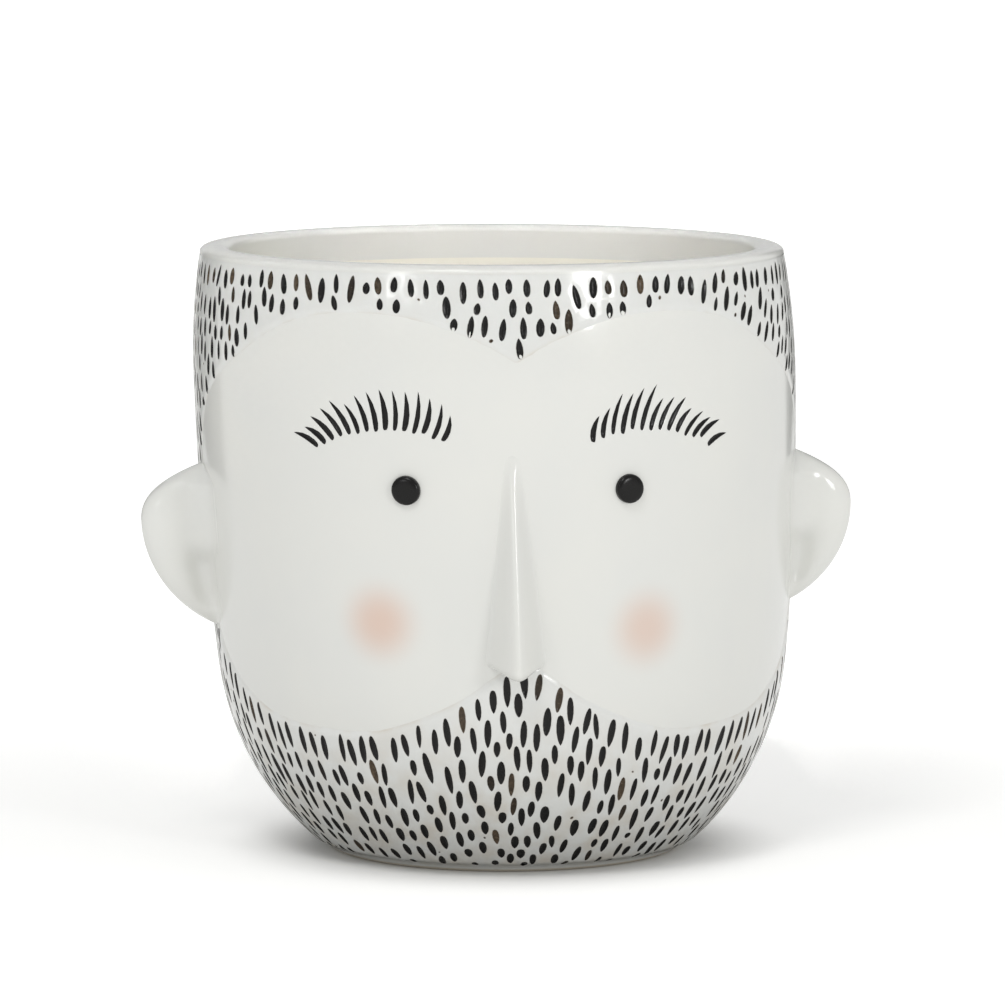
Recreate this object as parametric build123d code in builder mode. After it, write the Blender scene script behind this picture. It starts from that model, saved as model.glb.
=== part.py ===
"""Head planter, in millimetres: +Z up, the pot's axis on Z, standing on Z = 0, the face towards -Y."""
import os
from math import acos, cos, degrees, radians, sin, sqrt

from build123d import *

os.makedirs("parts", exist_ok=True)

# Pot shell, outside: foot, waist, belly and neck, at the level of the bare face
height = 149.0
belly_radius = 73.0
waist_inset = 3.9
neck_inset = 1.8
foot_radius = 42.6
waist_rise_share = 0.315
belly_rise_share = 0.797
neck_rise_share = 0.966

# Pot shell, inside: wall at the mouth, flat floor with a drain hole, and the recess inside the foot ring
wall = 6.7
floor_thickness = 6.0
floor_fillet_share = 0.6
foot_width = 8.0
foot_fillet_share = 0.1
recess_depth = 3.0
drain_radius = 6.5

# Hair and beard: one raised layer, parted at the ears, with an opening for the face
layer = 1.0
layer_foot_gap = 1.6
layer_rim_gap = 4.6
layer_fillet_share = 0.7
parting_rise_share = 0.527

# Opening for the face, in degrees round the pot from its middle and as shares of the height
face_half_angle = 82.0
face_bottom_share = 0.25
face_top_share = 0.918
face_turn_share = 0.5
face_overlap_share = -0.03
hairline_shares = ((0, 0.887), (0.10, 0.944), (0.25, 0.992), (0.42, 0.998), (0.57, 0.966), (0.73, 0.882),
                   (0.89, 0.781), (0.975, 0.663), (1, 0.56))
beard_line_shares = ((1, 0.22), (0.93, 0.14), (0.80, 0.06), (0.66, 0.013), (0.43, 0), (0.30, 0.025),
                     (0.16, 0.085), (0.08, 0.14), (0, 0.195))

# Nose: a wedge that widens downwards, with its tip hanging lower than its wings
nose_top_share = 0.703
nose_bottom_share = 0.358
nose_width = 12.4
nose_reach = 11.5
bridge_width = 3.4
bridge_reach = 0.8
nose_tilt = 14.0
nose_fillet_share = 0.13

# Ears: round at the top, running down to a narrow lobe, with a dished front; the two differ, as hand-built
ear_angle = 83.5
left_ear_reach = 14.2
left_ear_height = 37.5
left_ear_bottom_share = 0.411
right_ear_reach = 15.6
right_ear_height = 40.0
right_ear_bottom_share = 0.379
ear_thickness = 10.0
ear_widest_share = 0.62
ear_fillet_share = 0.42
ear_dish_depth = 3.8
ear_dish_height = 24.0
ear_dish_shares = (0.50, 0.55)

# Eyes: round buttons with a soft shoulder
eye_angle = 21.1
eye_rise_share = 0.644
eye_radius = 3.5
eye_height = 1.6
eye_fillet_share = 0.8

# Brows: strokes with a round root and a sharp tip, fanned from the inner end to the outer end
left_brow_count = 14
right_brow_count = 15
brow_inner_angle = 13.7
brow_outer_angle = 39.0
brow_lean = 5.3
brow_rise_share = 0.7228
brow_root_bow = 3.1
brow_root_drop = 2.0
stroke_rise = 6.2
stroke_rise_bow = 3.6
stroke_rise_drop = 3.8
stroke_width = 1.9
stroke_depth = 0.8

# Drain plug: a flange on the floor, a stem in the drain hole and a knob to pull it by
plug_clearance = 0.3
plug_flange_lip = 4.0
plug_flange_height = 2.4
plug_stem_gap = 0.6
plug_neck_radius = 2.6
plug_neck_height = 4.0
plug_knob_radius = 4.4
plug_knob_height = 4.6
plug_fillet_share = 0.22

# Overrun that carries a cut clear of what it cuts
overrun = 6.0

# Heights and radii that follow from these
waist_z = height * waist_rise_share
belly_z = height * belly_rise_share
neck_z = height * neck_rise_share
waist_radius = belly_radius - waist_inset
neck_radius = belly_radius - neck_inset
mouth_radius = neck_radius - wall
floor_z = recess_depth + floor_thickness
recess_radius = foot_radius - foot_width


def tangent_arc(run, inset):
    """Radius of an arc that starts upright and moves inwards by inset along run."""
    return (run**2 + inset**2) / (2 * inset)


shoulder_arc = tangent_arc(neck_z - belly_z, belly_radius - neck_radius)
shoulder_centre = Vector(belly_radius - shoulder_arc, belly_z)
wall_arc = tangent_arc(belly_z - waist_z, belly_radius - waist_radius)
wall_centre = Vector(belly_radius - wall_arc, belly_z)
waist = Vector(waist_radius, waist_z)
waist_inward = (wall_centre - waist).normalized()
waist_to_foot = Vector(foot_radius, 0) - waist
outer_bowl_arc = waist_to_foot.dot(waist_to_foot) / (2 * waist_inward.dot(waist_to_foot))
outer_bowl_centre = waist + waist_inward * outer_bowl_arc


def outer_radius(z, proud=0.0):
    """Radius of the outside at height z, proud of the bare face by so much."""
    if z > belly_z:
        centre, arc = shoulder_centre, shoulder_arc
    elif z > waist_z:
        centre, arc = wall_centre, wall_arc
    else:
        centre, arc = outer_bowl_centre, outer_bowl_arc
    return centre.X + sqrt((arc + proud) ** 2 - (z - centre.Y) ** 2)


def outer_arcs(low_z, high_z, proud=0.0):
    """Draw the outside between two heights: an arc each for the bowl, the wall and the shoulder."""
    marks = [low_z, *[z for z in (waist_z, belly_z) if low_z < z < high_z], high_z]
    for start_z, end_z in zip(marks, marks[1:]):
        ThreePointArc(*[(outer_radius(z, proud), z) for z in (start_z, (start_z + end_z) / 2, end_z)])


def layer_section(low_z, high_z, inner_proud, outer_proud):
    """Draw the section of a layer that follows the outside, between two heights and two levels."""
    with BuildLine() as outline:
        outer_arcs(low_z, high_z, inner_proud)
        outer_arcs(low_z, high_z, outer_proud)
        for z in (low_z, high_z):
            Line((outer_radius(z, inner_proud), z), (outer_radius(z, outer_proud), z))
    make_face(outline.edges())


def facing_plane(angle, distance=0.0, z=0.0):
    """Upright plane that faces outwards at an angle from the middle of the face."""
    outward = Vector(sin(radians(angle)), -cos(radians(angle)), 0)
    along = (cos(radians(angle)), sin(radians(angle)), 0)
    return Plane(outward * distance + Vector(0, 0, z), x_dir=along, z_dir=outward)


def radial_plane(angle):
    """Upright plane through the axis, with x outwards at an angle from the middle of the face."""
    outward = (sin(radians(angle)), -cos(radians(angle)), 0)
    forward = (-cos(radians(angle)), -sin(radians(angle)), 0)
    return Plane((0, 0, 0), x_dir=outward, z_dir=forward)


# Solid of the bare head, which everything laid on it is fitted to
with BuildPart() as head_core:
    with BuildSketch(Plane.XZ):
        with BuildLine():
            outer_arcs(0, neck_z)
            Polyline((neck_radius, neck_z), (0, neck_z), (0, 0), (foot_radius, 0))
        make_face()
    revolve(axis=Axis.Z)

# Brows
brow_z = height * brow_rise_share
brow_low_z = brow_z - brow_root_drop - stroke_width
brow_high_z = brow_z + brow_root_bow + stroke_rise + stroke_rise_bow + stroke_width


def brow_stroke(place, side):
    """Draw one stroke and carry it through the outside; place runs from 0, inner end, to 1, outer end."""
    bow = 4 * place * (1 - place)
    root_z = brow_z + brow_root_bow * bow - brow_root_drop * place
    rise = stroke_rise + stroke_rise_bow * bow - stroke_rise_drop * place
    angle = brow_inner_angle + (brow_outer_angle - brow_inner_angle) * place
    side_step = side * outer_radius(root_z) * sin(radians(brow_lean * place))
    along = Vector(side_step, rise).normalized()
    across = Vector(-along.Y, along.X) * (stroke_width / 2)
    with BuildSketch(facing_plane(side * angle, outer_radius(root_z), root_z)) as stroke:
        with BuildLine():
            ThreePointArc(across, along * (-stroke_width / 2), -across)
            Polyline(-across, (side_step, rise), across)
        make_face()
    extrude(stroke.sketch, amount=overrun, both=True)


with BuildPart() as brow_skin:
    with BuildSketch(Plane.XZ):
        layer_section(brow_low_z, brow_high_z, -stroke_depth, 0)
    revolve(axis=Axis.Z)
with BuildPart() as left_brow:
    for number in range(left_brow_count):
        brow_stroke(number / (left_brow_count - 1), 1)
    add(brow_skin.part, mode=Mode.INTERSECT)
with BuildPart() as right_brow:
    for number in range(right_brow_count):
        brow_stroke(number / (right_brow_count - 1), -1)
    add(brow_skin.part, mode=Mode.INTERSECT)

# Pot shell
lip_z = height - (neck_radius - mouth_radius) / 2
lip_radius = outer_radius(lip_z)
lip_middle = (lip_radius + mouth_radius) / 2
inner_bowl_arc = mouth_radius - outer_bowl_centre.X
inner_bowl_z = outer_bowl_centre.Y


def inner_radius(z):
    """Radius of the bowl's inside at height z."""
    return outer_bowl_centre.X + sqrt(inner_bowl_arc**2 - (inner_bowl_z - z) ** 2)


floor_radius = inner_radius(floor_z)
with BuildPart() as pot_shell:
    with BuildSketch(Plane.XZ):
        with BuildLine():
            outer_arcs(0, lip_z)
            ThreePointArc((lip_radius, lip_z), (lip_middle, height), (mouth_radius, lip_z))
            Line((mouth_radius, lip_z), (mouth_radius, inner_bowl_z))
            bowl_middle_z = (inner_bowl_z + floor_z) / 2
            ThreePointArc(*[(inner_radius(z), z) for z in (inner_bowl_z, bowl_middle_z, floor_z)])
            Polyline((floor_radius, floor_z), (drain_radius, floor_z), (drain_radius, recess_depth),
                     (recess_radius, recess_depth), (recess_radius, 0), (foot_radius, 0))
        make_face()
    revolve(axis=Axis.Z)
    floor_rings = pot_shell.edges().filter_by_position(Axis.Z, floor_z, floor_z)
    fillet(floor_rings.sort_by(SortBy.RADIUS)[-1], wall * floor_fillet_share)
    fillet(pot_shell.edges().filter_by(GeomType.CIRCLE).group_by(Axis.Z)[0], foot_width * foot_fillet_share)
    add(left_brow.part, mode=Mode.SUBTRACT)
    add(right_brow.part, mode=Mode.SUBTRACT)

# Ears: an upper and a lower arc that meet upright at the widest point and run on into the wall
ear_plane = radial_plane(ear_angle)
ear_front = ear_plane.offset(ear_thickness / 2)


def head_ear(reach, ear_height, bottom_share):
    """Ear for the head's left side, of a reach and a height, with its lobe at a share of the pot's height."""
    bottom_z = height * bottom_share
    widest_z = bottom_z + ear_height * ear_widest_share
    base = outer_radius(widest_z)
    root = base - wall / 2
    dish_centre = (base + reach * ear_dish_shares[0], bottom_z + ear_height * ear_dish_shares[1])
    edges = []
    for run, turn in ((ear_height * (1 - ear_widest_share), 1), (ear_height * ear_widest_share, -1)):
        arc = tangent_arc(run, reach)
        centre = base + reach - arc
        edges.append(((centre, widest_z), arc, 0, turn * degrees(acos((root - centre) / arc))))
    with BuildPart() as ear:
        with BuildSketch(ear_plane):
            with BuildLine():
                upper, lower = [CenterArc(*edge) for edge in edges]
                Line(upper @ 1, lower @ 1)
            make_face()
        extrude(amount=ear_thickness / 2, both=True)
        ear_rims = ear.faces().filter_by(ear_plane).edges().filter_by(GeomType.CIRCLE)
        fillet(ear_rims, ear_thickness * ear_fillet_share)
        with BuildSketch(ear_front):
            with BuildLine():
                dish = EllipticalCenterArc(
                    dish_centre, ear_dish_depth, ear_dish_height / 2, start_angle=-90, arc_size=180
                )
                Line(dish @ 1, dish @ 0)
            make_face()
        revolve(axis=Axis(ear_front.from_local_coords(dish_centre), (0, 0, 1)), mode=Mode.SUBTRACT)
        add(head_core.part, mode=Mode.SUBTRACT)
    return ear


left_ear = head_ear(left_ear_reach, left_ear_height, left_ear_bottom_share)
larger_ear = head_ear(right_ear_reach, right_ear_height, right_ear_bottom_share)
with BuildPart() as right_ear:
    mirror(larger_ear.part, about=Plane.YZ)

# Opening for the face: one half drawn square to its own middle, and its mirror image
face_turn = face_half_angle * face_turn_share
face_bottom_z = height * face_bottom_share
face_height = height * (face_top_share - face_bottom_share)


def face_points(shares):
    """Points of the opening's outline on the plane that its half is drawn on."""
    points = []
    for angle_share, rise_share in shares:
        z = face_bottom_z + face_height * rise_share
        points.append((outer_radius(z) * sin(radians(face_half_angle * angle_share - face_turn)), z))
    return points


hairline = face_points(hairline_shares)
beard_line = face_points(beard_line_shares)
overlap = face_points((face_overlap_share, ends[1]) for ends in (beard_line_shares[-1], hairline_shares[0]))
with BuildPart() as face_opening:
    with BuildSketch(facing_plane(face_turn)):
        with BuildLine():
            Spline(*hairline)
            Line(hairline[-1], beard_line[0])
            Spline(*beard_line)
            Polyline(beard_line[-1], *overlap, hairline[0])
        make_face()
    extrude(amount=belly_radius + overrun)
    mirror(about=Plane.YZ)

# Nose
nose_top_z = height * nose_top_share
nose_bottom_z = height * nose_bottom_share
with BuildPart() as nose:
    with BuildSketch(Plane((0, -outer_radius(nose_bottom_z), nose_bottom_z)).rotated((nose_tilt, 0, 0))):
        Ellipse(nose_width / 2, nose_reach)
    with BuildSketch(Plane((0, -outer_radius(nose_top_z), nose_top_z))):
        Ellipse(bridge_width / 2, bridge_reach)
    loft()
    fillet(nose.faces().sort_by(Axis.Z)[0].edges(), nose_width * nose_fillet_share)
    add(head_core.part, mode=Mode.SUBTRACT)

# Hair and beard
with BuildPart() as raised_layer:
    with BuildSketch(Plane.XZ):
        layer_section(layer_foot_gap, height - layer_rim_gap, 0, layer)
    revolve(axis=Axis.Z)
    for end in (-1, 0):
        end_rings = raised_layer.edges().group_by(Axis.Z)[end]
        fillet(end_rings.sort_by(SortBy.RADIUS)[-1], layer * layer_fillet_share)
    for cutter in (face_opening, left_ear, right_ear, nose):
        add(cutter.part, mode=Mode.SUBTRACT)
parting = Plane.XY.offset(height * parting_rise_share)
with BuildPart() as hair:
    add(raised_layer.part)
    split(bisect_by=parting, keep=Keep.TOP)
with BuildPart() as beard:
    add(raised_layer.part)
    split(bisect_by=parting, keep=Keep.BOTTOM)

# Eyes
eye_z = height * eye_rise_share
with BuildPart() as left_eye:
    with BuildSketch(facing_plane(eye_angle, outer_radius(eye_z) - overrun, eye_z)):
        Circle(eye_radius)
    extrude(amount=overrun + eye_height)
    front = left_eye.faces().filter_by(GeomType.PLANE).sort_by(Axis.Y)[0]
    fillet(front.edges(), eye_height * eye_fillet_share)
    add(head_core.part, mode=Mode.SUBTRACT)
with BuildPart() as right_eye:
    mirror(left_eye.part, about=Plane.YZ)

# Drain plug
plug_stem_radius = drain_radius - plug_clearance
plug_flange_z = floor_z + plug_flange_height
plug_neck_z = plug_flange_z + plug_neck_height
with BuildPart() as drain_plug:
    for radius, low_z, high_z in (
        (plug_stem_radius, recess_depth + plug_stem_gap, floor_z),
        (drain_radius + plug_flange_lip, floor_z, plug_flange_z),
        (plug_neck_radius, plug_flange_z, plug_neck_z),
        (plug_knob_radius, plug_neck_z, plug_neck_z + plug_knob_height),
    ):
        with BuildSketch(Plane.XY.offset(low_z)):
            Circle(radius)
        extrude(amount=high_z - low_z)
    knob_ends = drain_plug.edges().group_by(Axis.Z)[-1] + drain_plug.edges().group_by(Axis.Z)[0]
    fillet(knob_ends, plug_knob_height * plug_fillet_share)

pieces = {
    "pot_shell": pot_shell,
    "hair": hair,
    "beard": beard,
    "nose": nose,
    "left_ear": left_ear,
    "right_ear": right_ear,
    "left_eye": left_eye,
    "right_eye": right_eye,
    "left_brow": left_brow,
    "right_brow": right_brow,
    "drain_plug": drain_plug,
}
for name, piece in pieces.items():
    piece.part.label = name
    export_step(piece.part, f"parts/{name}.step")
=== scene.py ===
"""Looks of a glazed head planter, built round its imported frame: metres, +Z up, the face towards -Y."""

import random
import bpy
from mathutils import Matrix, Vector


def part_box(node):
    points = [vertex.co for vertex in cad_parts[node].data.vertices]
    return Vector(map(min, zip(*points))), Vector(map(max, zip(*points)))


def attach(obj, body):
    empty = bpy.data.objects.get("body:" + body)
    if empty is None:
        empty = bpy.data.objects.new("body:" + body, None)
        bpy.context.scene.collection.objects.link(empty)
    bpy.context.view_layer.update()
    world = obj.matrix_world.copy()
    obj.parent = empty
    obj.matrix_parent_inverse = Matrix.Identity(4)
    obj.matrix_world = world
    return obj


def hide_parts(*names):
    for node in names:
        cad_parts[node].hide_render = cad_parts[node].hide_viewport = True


bl_info = {
    "name": "Head planter",
    "version": (1, 0, 0),
    "blender": (4, 5, 0),
    "location": "3D View > Sidebar > Head planter",
    "description": "Glazed head planter with carved hair and beard, and the stage that it stands on",
    "category": "Add Mesh",
}

from math import atan2, ceil, cos, hypot, pi, radians, sin, sqrt

import bmesh
import bpy
import numpy as np
from bpy.props import FloatProperty, FloatVectorProperty, IntProperty, PointerProperty
from mathutils import Vector
from mathutils.geometry import delaunay_2d_cdt
from mathutils.kdtree import KDTree

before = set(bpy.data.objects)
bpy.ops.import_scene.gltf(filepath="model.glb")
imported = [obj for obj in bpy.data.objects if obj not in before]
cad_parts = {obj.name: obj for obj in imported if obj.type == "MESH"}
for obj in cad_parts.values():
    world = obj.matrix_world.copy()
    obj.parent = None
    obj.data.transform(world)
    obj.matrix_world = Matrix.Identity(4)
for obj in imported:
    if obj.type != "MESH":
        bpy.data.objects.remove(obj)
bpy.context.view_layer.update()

MM = 0.001
IMAGE_PIXELS = 1005
SENSOR_WIDTH_MM = 36.0
SEED = 11

# Pot outside, as the part has it: foot, waist, belly and neck at the level of the bare face
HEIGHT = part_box("pot_shell")[1][2]
BELLY_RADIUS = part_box("pot_shell")[1][0]
WAIST_INSET = 3.9 * MM
NECK_INSET = 1.8 * MM
FOOT_RADIUS = 42.6 * MM
WAIST_Z = HEIGHT * 0.315
BELLY_Z = HEIGHT * 0.797
NECK_Z = HEIGHT * 0.966

# Pot inside, foot ring and drain hole
WALL = 6.7 * MM
FLOOR_Z = 9.0 * MM
FLOOR_FILLET = 4.0 * MM
RECESS_Z = 3.0 * MM
RECESS_RADIUS = FOOT_RADIUS - 8.0 * MM
DRAIN_RADIUS = 6.5 * MM
SMALL_EDGE = 0.8 * MM

# Opening for the face: angle shares of its half angle, rise shares of its height
FACE_HALF_ANGLE = radians(82)
FACE_BOTTOM_SHARE, FACE_TOP_SHARE = 0.25, 0.918
FACE_BOTTOM_Z = HEIGHT * FACE_BOTTOM_SHARE
FACE_HEIGHT = HEIGHT * (FACE_TOP_SHARE - FACE_BOTTOM_SHARE)
HAIRLINE_SHARES = ((0, 0.887), (0.10, 0.944), (0.25, 0.992), (0.42, 0.998), (0.57, 0.966), (0.73, 0.882),
                   (0.89, 0.781), (0.975, 0.663), (1, 0.56))
BEARD_LINE_SHARES = ((0, 0.195), (0.08, 0.14), (0.16, 0.085), (0.30, 0.025), (0.43, 0), (0.66, 0.013),
                     (0.80, 0.06), (0.93, 0.14), (1, 0.22))
PARTING_Z = HEIGHT * 0.527

# The outside is drawn unrolled: round the pot at this radius, and up its profile
UNROLL_RADIUS = 72.0 * MM
HALF_TURN = pi * UNROLL_RADIUS
SEGMENTS = 256
PROFILE_SAMPLES = 2400


def srgb(code):
    """Linear RGBA of an sRGB hex colour."""
    parts = [int(code[place:place + 2], 16) / 255 for place in (0, 2, 4)]
    return [part / 12.92 if part <= 0.04045 else ((part + 0.055) / 1.055) ** 2.4 for part in parts] + [1.0]


def size(name, description, millimetres):
    """Property for a length given in millimetres."""
    return FloatProperty(name=name, description=description, default=millimetres * MM, unit="LENGTH",
                         precision=4, min=0.0)


def colour(name, description, code):
    """Property for a colour given as an sRGB hex value."""
    return FloatVectorProperty(name=name, description=description, default=srgb(code), size=4,
                               subtype="COLOR", min=0.0, max=1.0)


class HeadPlanterSizes(bpy.types.PropertyGroup):
    """Sizes of the planter's modelled detail."""

    chin_level: size("Chin level", "How far the glazed face stands proud of the pot at the beard", 0.55)
    brow_level: size("Forehead level", "How far the glazed face stands proud of the pot at the hair", 0.75)
    lean: size("Lean", "How far the thrown pot leans to the head's right at its rim", 3.3)
    layer_level: size("Hair level", "How far hair and beard stand proud of the bare pot", 1.0)
    edge_width: size("Edge width", "Width of the soft step between face and hair", 2.2)
    hair_stroke: size("Hair stroke", "Length of a carved stroke in the hair", 5.3)
    beard_stroke: size("Beard stroke", "Length of a carved stroke in the beard", 7.3)
    stroke_width: size("Stroke width", "Width of a carved stroke", 1.7)
    stroke_depth: size("Stroke depth", "Depth of a carved stroke under its lip", 0.42)
    hair_pitch: size("Hair row pitch", "Distance between rows of strokes in the hair", 4.65)
    beard_pitch: size("Beard row pitch", "Distance between rows of strokes in the beard", 6.7)
    hair_spacing: size("Hair spacing", "Distance between strokes along a row of hair", 3.9)
    beard_spacing: size("Beard spacing", "Distance between strokes along a row of beard", 3.7)
    nose_width: size("Nose width", "Width of the nose at its root, across its wings", 14.6)
    nose_reach: size("Nose reach", "How far the nose's tip stands out from the face", 11.3)
    left_ear_reach: size("Left ear reach", "How far the head's left ear stands out from the pot", 14.2)
    left_ear_height: size("Left ear height", "Height of the head's left ear", 37.5)
    right_ear_reach: size("Right ear reach", "How far the head's right ear stands out from the pot", 16.0)
    right_ear_height: size("Right ear height", "Height of the head's right ear", 40.0)
    ear_thickness: size("Ear thickness", "Thickness of an ear through its rim", 9.0)
    eye_radius: size("Eye radius", "Radius of an eye button", 3.5)
    eye_height: size("Eye height", "How far an eye button stands out", 1.6)


class HeadPlanterColours(bpy.types.PropertyGroup):
    """Colours of the planter's glazes."""

    white: colour("White glaze", "Glossy white glaze of the outside", "DDDEDB")
    # The cream is painted lighter than the white glaze outside: painted light for the shaded inside of the
    # pot, over the warmer tint where the glaze pools
    cream_painted_lighter: colour("Cream glaze", "White glaze inside the pot, where it pools warmer", "F4F1E4")
    wash: colour("Wash", "Thin stain left on the carved ground", "C9BFAE")
    stain: colour("Stain", "Brown oxide that bleeds out of a stroke", "6E5C47")
    black: colour("Black glaze", "Black glaze in the strokes and on the eyes", "080706")
    blush: colour("Blush", "Pink underglaze on the cheeks", "DBB9A6")
    clay: colour("Bare clay", "Unglazed clay under the foot ring", "D9D2C4")
    rubber: colour("Rubber", "Moulded rubber of the drain plug", "3A3B3C")


class HeadPlanterStage(bpy.types.PropertyGroup):
    """Camera, colours of the stage, and the seed."""

    distance: FloatProperty(name="Camera distance", description="From the pot's axis, level",
                            default=1.576, unit="LENGTH")
    rise: FloatProperty(name="Camera height", description="Above the floor", default=0.266, unit="LENGTH")
    azimuth: FloatProperty(name="Camera azimuth", description="Round the pot from straight in front",
                           default=radians(-4.3), subtype="ANGLE")
    focal_pixels: FloatProperty(name="Focal length in pixels", description="Focal length over pixel pitch",
                                default=6430.0)
    aim_z: FloatProperty(name="Aim height", description="Height on the axis at the middle of the picture",
                         default=0.08496, unit="LENGTH")
    aim_side: FloatProperty(name="Aim aside", description="How far right of the axis the picture's middle is",
                            default=-0.00061, unit="LENGTH")
    floor: colour("Floor", "Pale matt floor", "F4F4F2")
    bounce: colour("Bounce sheet", "Board that throws light back on the pot", "B8B8B6")
    card: colour("Edge cards", "Dark felt beside the picture", "303234")
    seed: IntProperty(name="Seed", description="Seed of everything random", default=SEED)


def tangent_arc(run, inset):
    """Radius of an arc that starts upright and moves inwards by inset along run."""
    return (run**2 + inset**2) / (2 * inset)


SHOULDER_ARC = tangent_arc(NECK_Z - BELLY_Z, NECK_INSET)
WALL_ARC = tangent_arc(BELLY_Z - WAIST_Z, WAIST_INSET)
SHOULDER_CENTRE = (BELLY_RADIUS - SHOULDER_ARC, BELLY_Z)
WALL_CENTRE = (BELLY_RADIUS - WALL_ARC, BELLY_Z)
WAIST_POINT = Vector((BELLY_RADIUS - WAIST_INSET, WAIST_Z))
WAIST_INWARD = (Vector(WALL_CENTRE) - WAIST_POINT).normalized()
WAIST_TO_FOOT = Vector((FOOT_RADIUS, 0)) - WAIST_POINT
BOWL_ARC = WAIST_TO_FOOT.length_squared / (2 * WAIST_INWARD.dot(WAIST_TO_FOOT))
BOWL_CENTRE = tuple(WAIST_POINT + WAIST_INWARD * BOWL_ARC)
MOUTH_RADIUS = BELLY_RADIUS - NECK_INSET - WALL


def outside(z):
    """Radius of the bare outside at heights z, with its outward normal's radial and upward parts."""
    z = np.asarray(z, float)
    places = (z > BELLY_Z, z > WAIST_Z)
    centre_r = np.select(places, (SHOULDER_CENTRE[0], WALL_CENTRE[0]), BOWL_CENTRE[0])
    centre_z = np.select(places, (SHOULDER_CENTRE[1], WALL_CENTRE[1]), BOWL_CENTRE[1])
    arc = np.select(places, (SHOULDER_ARC, WALL_ARC), BOWL_ARC)
    reach = np.sqrt(arc**2 - (z - centre_z) ** 2)
    return centre_r + reach, reach / arc, (z - centre_z) / arc


PROFILE_Z = np.linspace(0, HEIGHT, PROFILE_SAMPLES)
PROFILE_RUN = np.concatenate(
    ([0], np.cumsum(np.hypot(np.diff(outside(PROFILE_Z)[0]), np.diff(PROFILE_Z)))))


def run_at(z):
    """Way up the profile at height z."""
    return np.interp(z, PROFILE_Z, PROFILE_RUN)


def rise_at(run):
    """Height at a way up the profile."""
    return np.interp(run, PROFILE_RUN, PROFILE_Z)


def smoothstep(share):
    """Soft step from 0 to 1."""
    share = np.clip(share, 0, 1)
    return share * share * (3 - 2 * share)


# Hand-thrown unevenness of the outside: waves round the pot, each with waves up it, a phase and a height
UNEVEN_WAVES = ((3, 1.0, 0.4, 0.16 * MM), (5, 2.2, 1.9, 0.10 * MM), (8, 3.1, 4.2, 0.06 * MM))


def stretch_at(run):
    """How much wider a thing is drawn on the unrolled outside than it is on the pot."""
    return UNROLL_RADIUS / float(outside(rise_at(run))[0])


def unevenness(angle, z):
    """Small hand-made waves of the outside, which fade out at the rim and the foot."""
    fade = np.sin(pi * np.clip(z / HEIGHT, 0, 1))
    waves = [height * np.sin(turns * angle + phase + 2 * pi * rises * z / HEIGHT)
             for turns, rises, phase, height in UNEVEN_WAVES]
    return fade * sum(waves)


def on_outside(around, run, level):
    """Points and normals of the outside at unrolled places, proud of the bare face by level."""
    around, run = np.asarray(around, float), np.asarray(run, float)
    angle = around / UNROLL_RADIUS
    z = rise_at(run)
    radius, outward, upward = outside(z)
    level = level + unevenness(angle, z)
    reach = radius + outward * level
    points = np.stack((reach * np.sin(angle), -reach * np.cos(angle), z + upward * level), axis=-1)
    normals = np.stack((outward * np.sin(angle), -outward * np.cos(angle), upward + 0 * angle), axis=-1)
    return points, normals


def smooth_line(points, steps):
    """Catmull-Rom curve through points."""
    points = np.asarray(points, float)
    ends = np.vstack((2 * points[0] - points[1], points, 2 * points[-1] - points[-2]))
    shares = np.linspace(0, 1, steps, endpoint=False)[:, None]
    pieces = []
    for before, start, end, after in zip(ends, ends[1:], ends[2:], ends[3:]):
        pieces.append(start + 0.5 * shares * (end - before + shares * (
            2 * before - 5 * start + 4 * end - after + shares * (3 * (start - end) + after - before))))
    return np.vstack((*pieces, points[-1:]))


def even_line(line, spacing):
    """The same line with points at an even spacing."""
    lengths = np.concatenate(([0], np.cumsum(np.hypot(*np.diff(line, axis=0).T))))
    marks = np.linspace(0, lengths[-1], max(2, ceil(lengths[-1] / spacing)))
    return np.stack([np.interp(marks, lengths, part) for part in line.T], axis=-1)


LINE_STEPS = 24
OUTLINE_SPACING = 0.8 * MM
DENSE_SPACING = 0.2 * MM


def unrolled_half(shares):
    """Half of a face line, from its middle outwards, on the unrolled outside."""
    line = smooth_line(shares, LINE_STEPS)
    rise = run_at(FACE_BOTTOM_Z + FACE_HEIGHT * line[:, 1])
    return np.stack((np.clip(line[:, 0], 0, 1) * FACE_HALF_ANGLE * UNROLL_RADIUS, rise), axis=-1)


HAIRLINE = unrolled_half(HAIRLINE_SHARES)
BEARD_LINE = unrolled_half(BEARD_LINE_SHARES)
FACE_SIDE = FACE_HALF_ANGLE * UNROLL_RADIUS
HALF_OUTLINE = np.vstack((HAIRLINE, BEARD_LINE[::-1]))
OUTLINE = np.vstack((HALF_OUTLINE, (HALF_OUTLINE * (-1, 1))[::-1]))
PARTING_RUN = float(run_at(PARTING_Z))


def line_tree(line):
    """Search tree of the points of a line."""
    tree = KDTree(len(line))
    for number, (around, run) in enumerate(line):
        tree.insert((around, run, 0), number)
    tree.balance()
    return tree


OUTLINE_TREE = line_tree(even_line(OUTLINE, DENSE_SPACING))


def in_face(around, run):
    """Whether unrolled places are inside the face's outline."""
    side = np.abs(around)
    low = np.interp(side, *BEARD_LINE.T)
    high = np.interp(side, *HAIRLINE.T)
    return (side < FACE_SIDE) & (run > low) & (run < high)


def clearance(around, run):
    """Distance from the face's outline: positive in hair and beard, negative on the face."""
    around, run = np.atleast_1d(around), np.atleast_1d(run)
    gaps = np.array([OUTLINE_TREE.find((x, y, 0))[2] for x, y in zip(around, run)])
    return np.where(in_face(around, run), -gaps, gaps)


# Height at which the pot starts to lean, and step for the slope of a level
LEAN_START_Z = 6.0 * MM
SLOPE_STEP = 0.15 * MM

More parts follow.
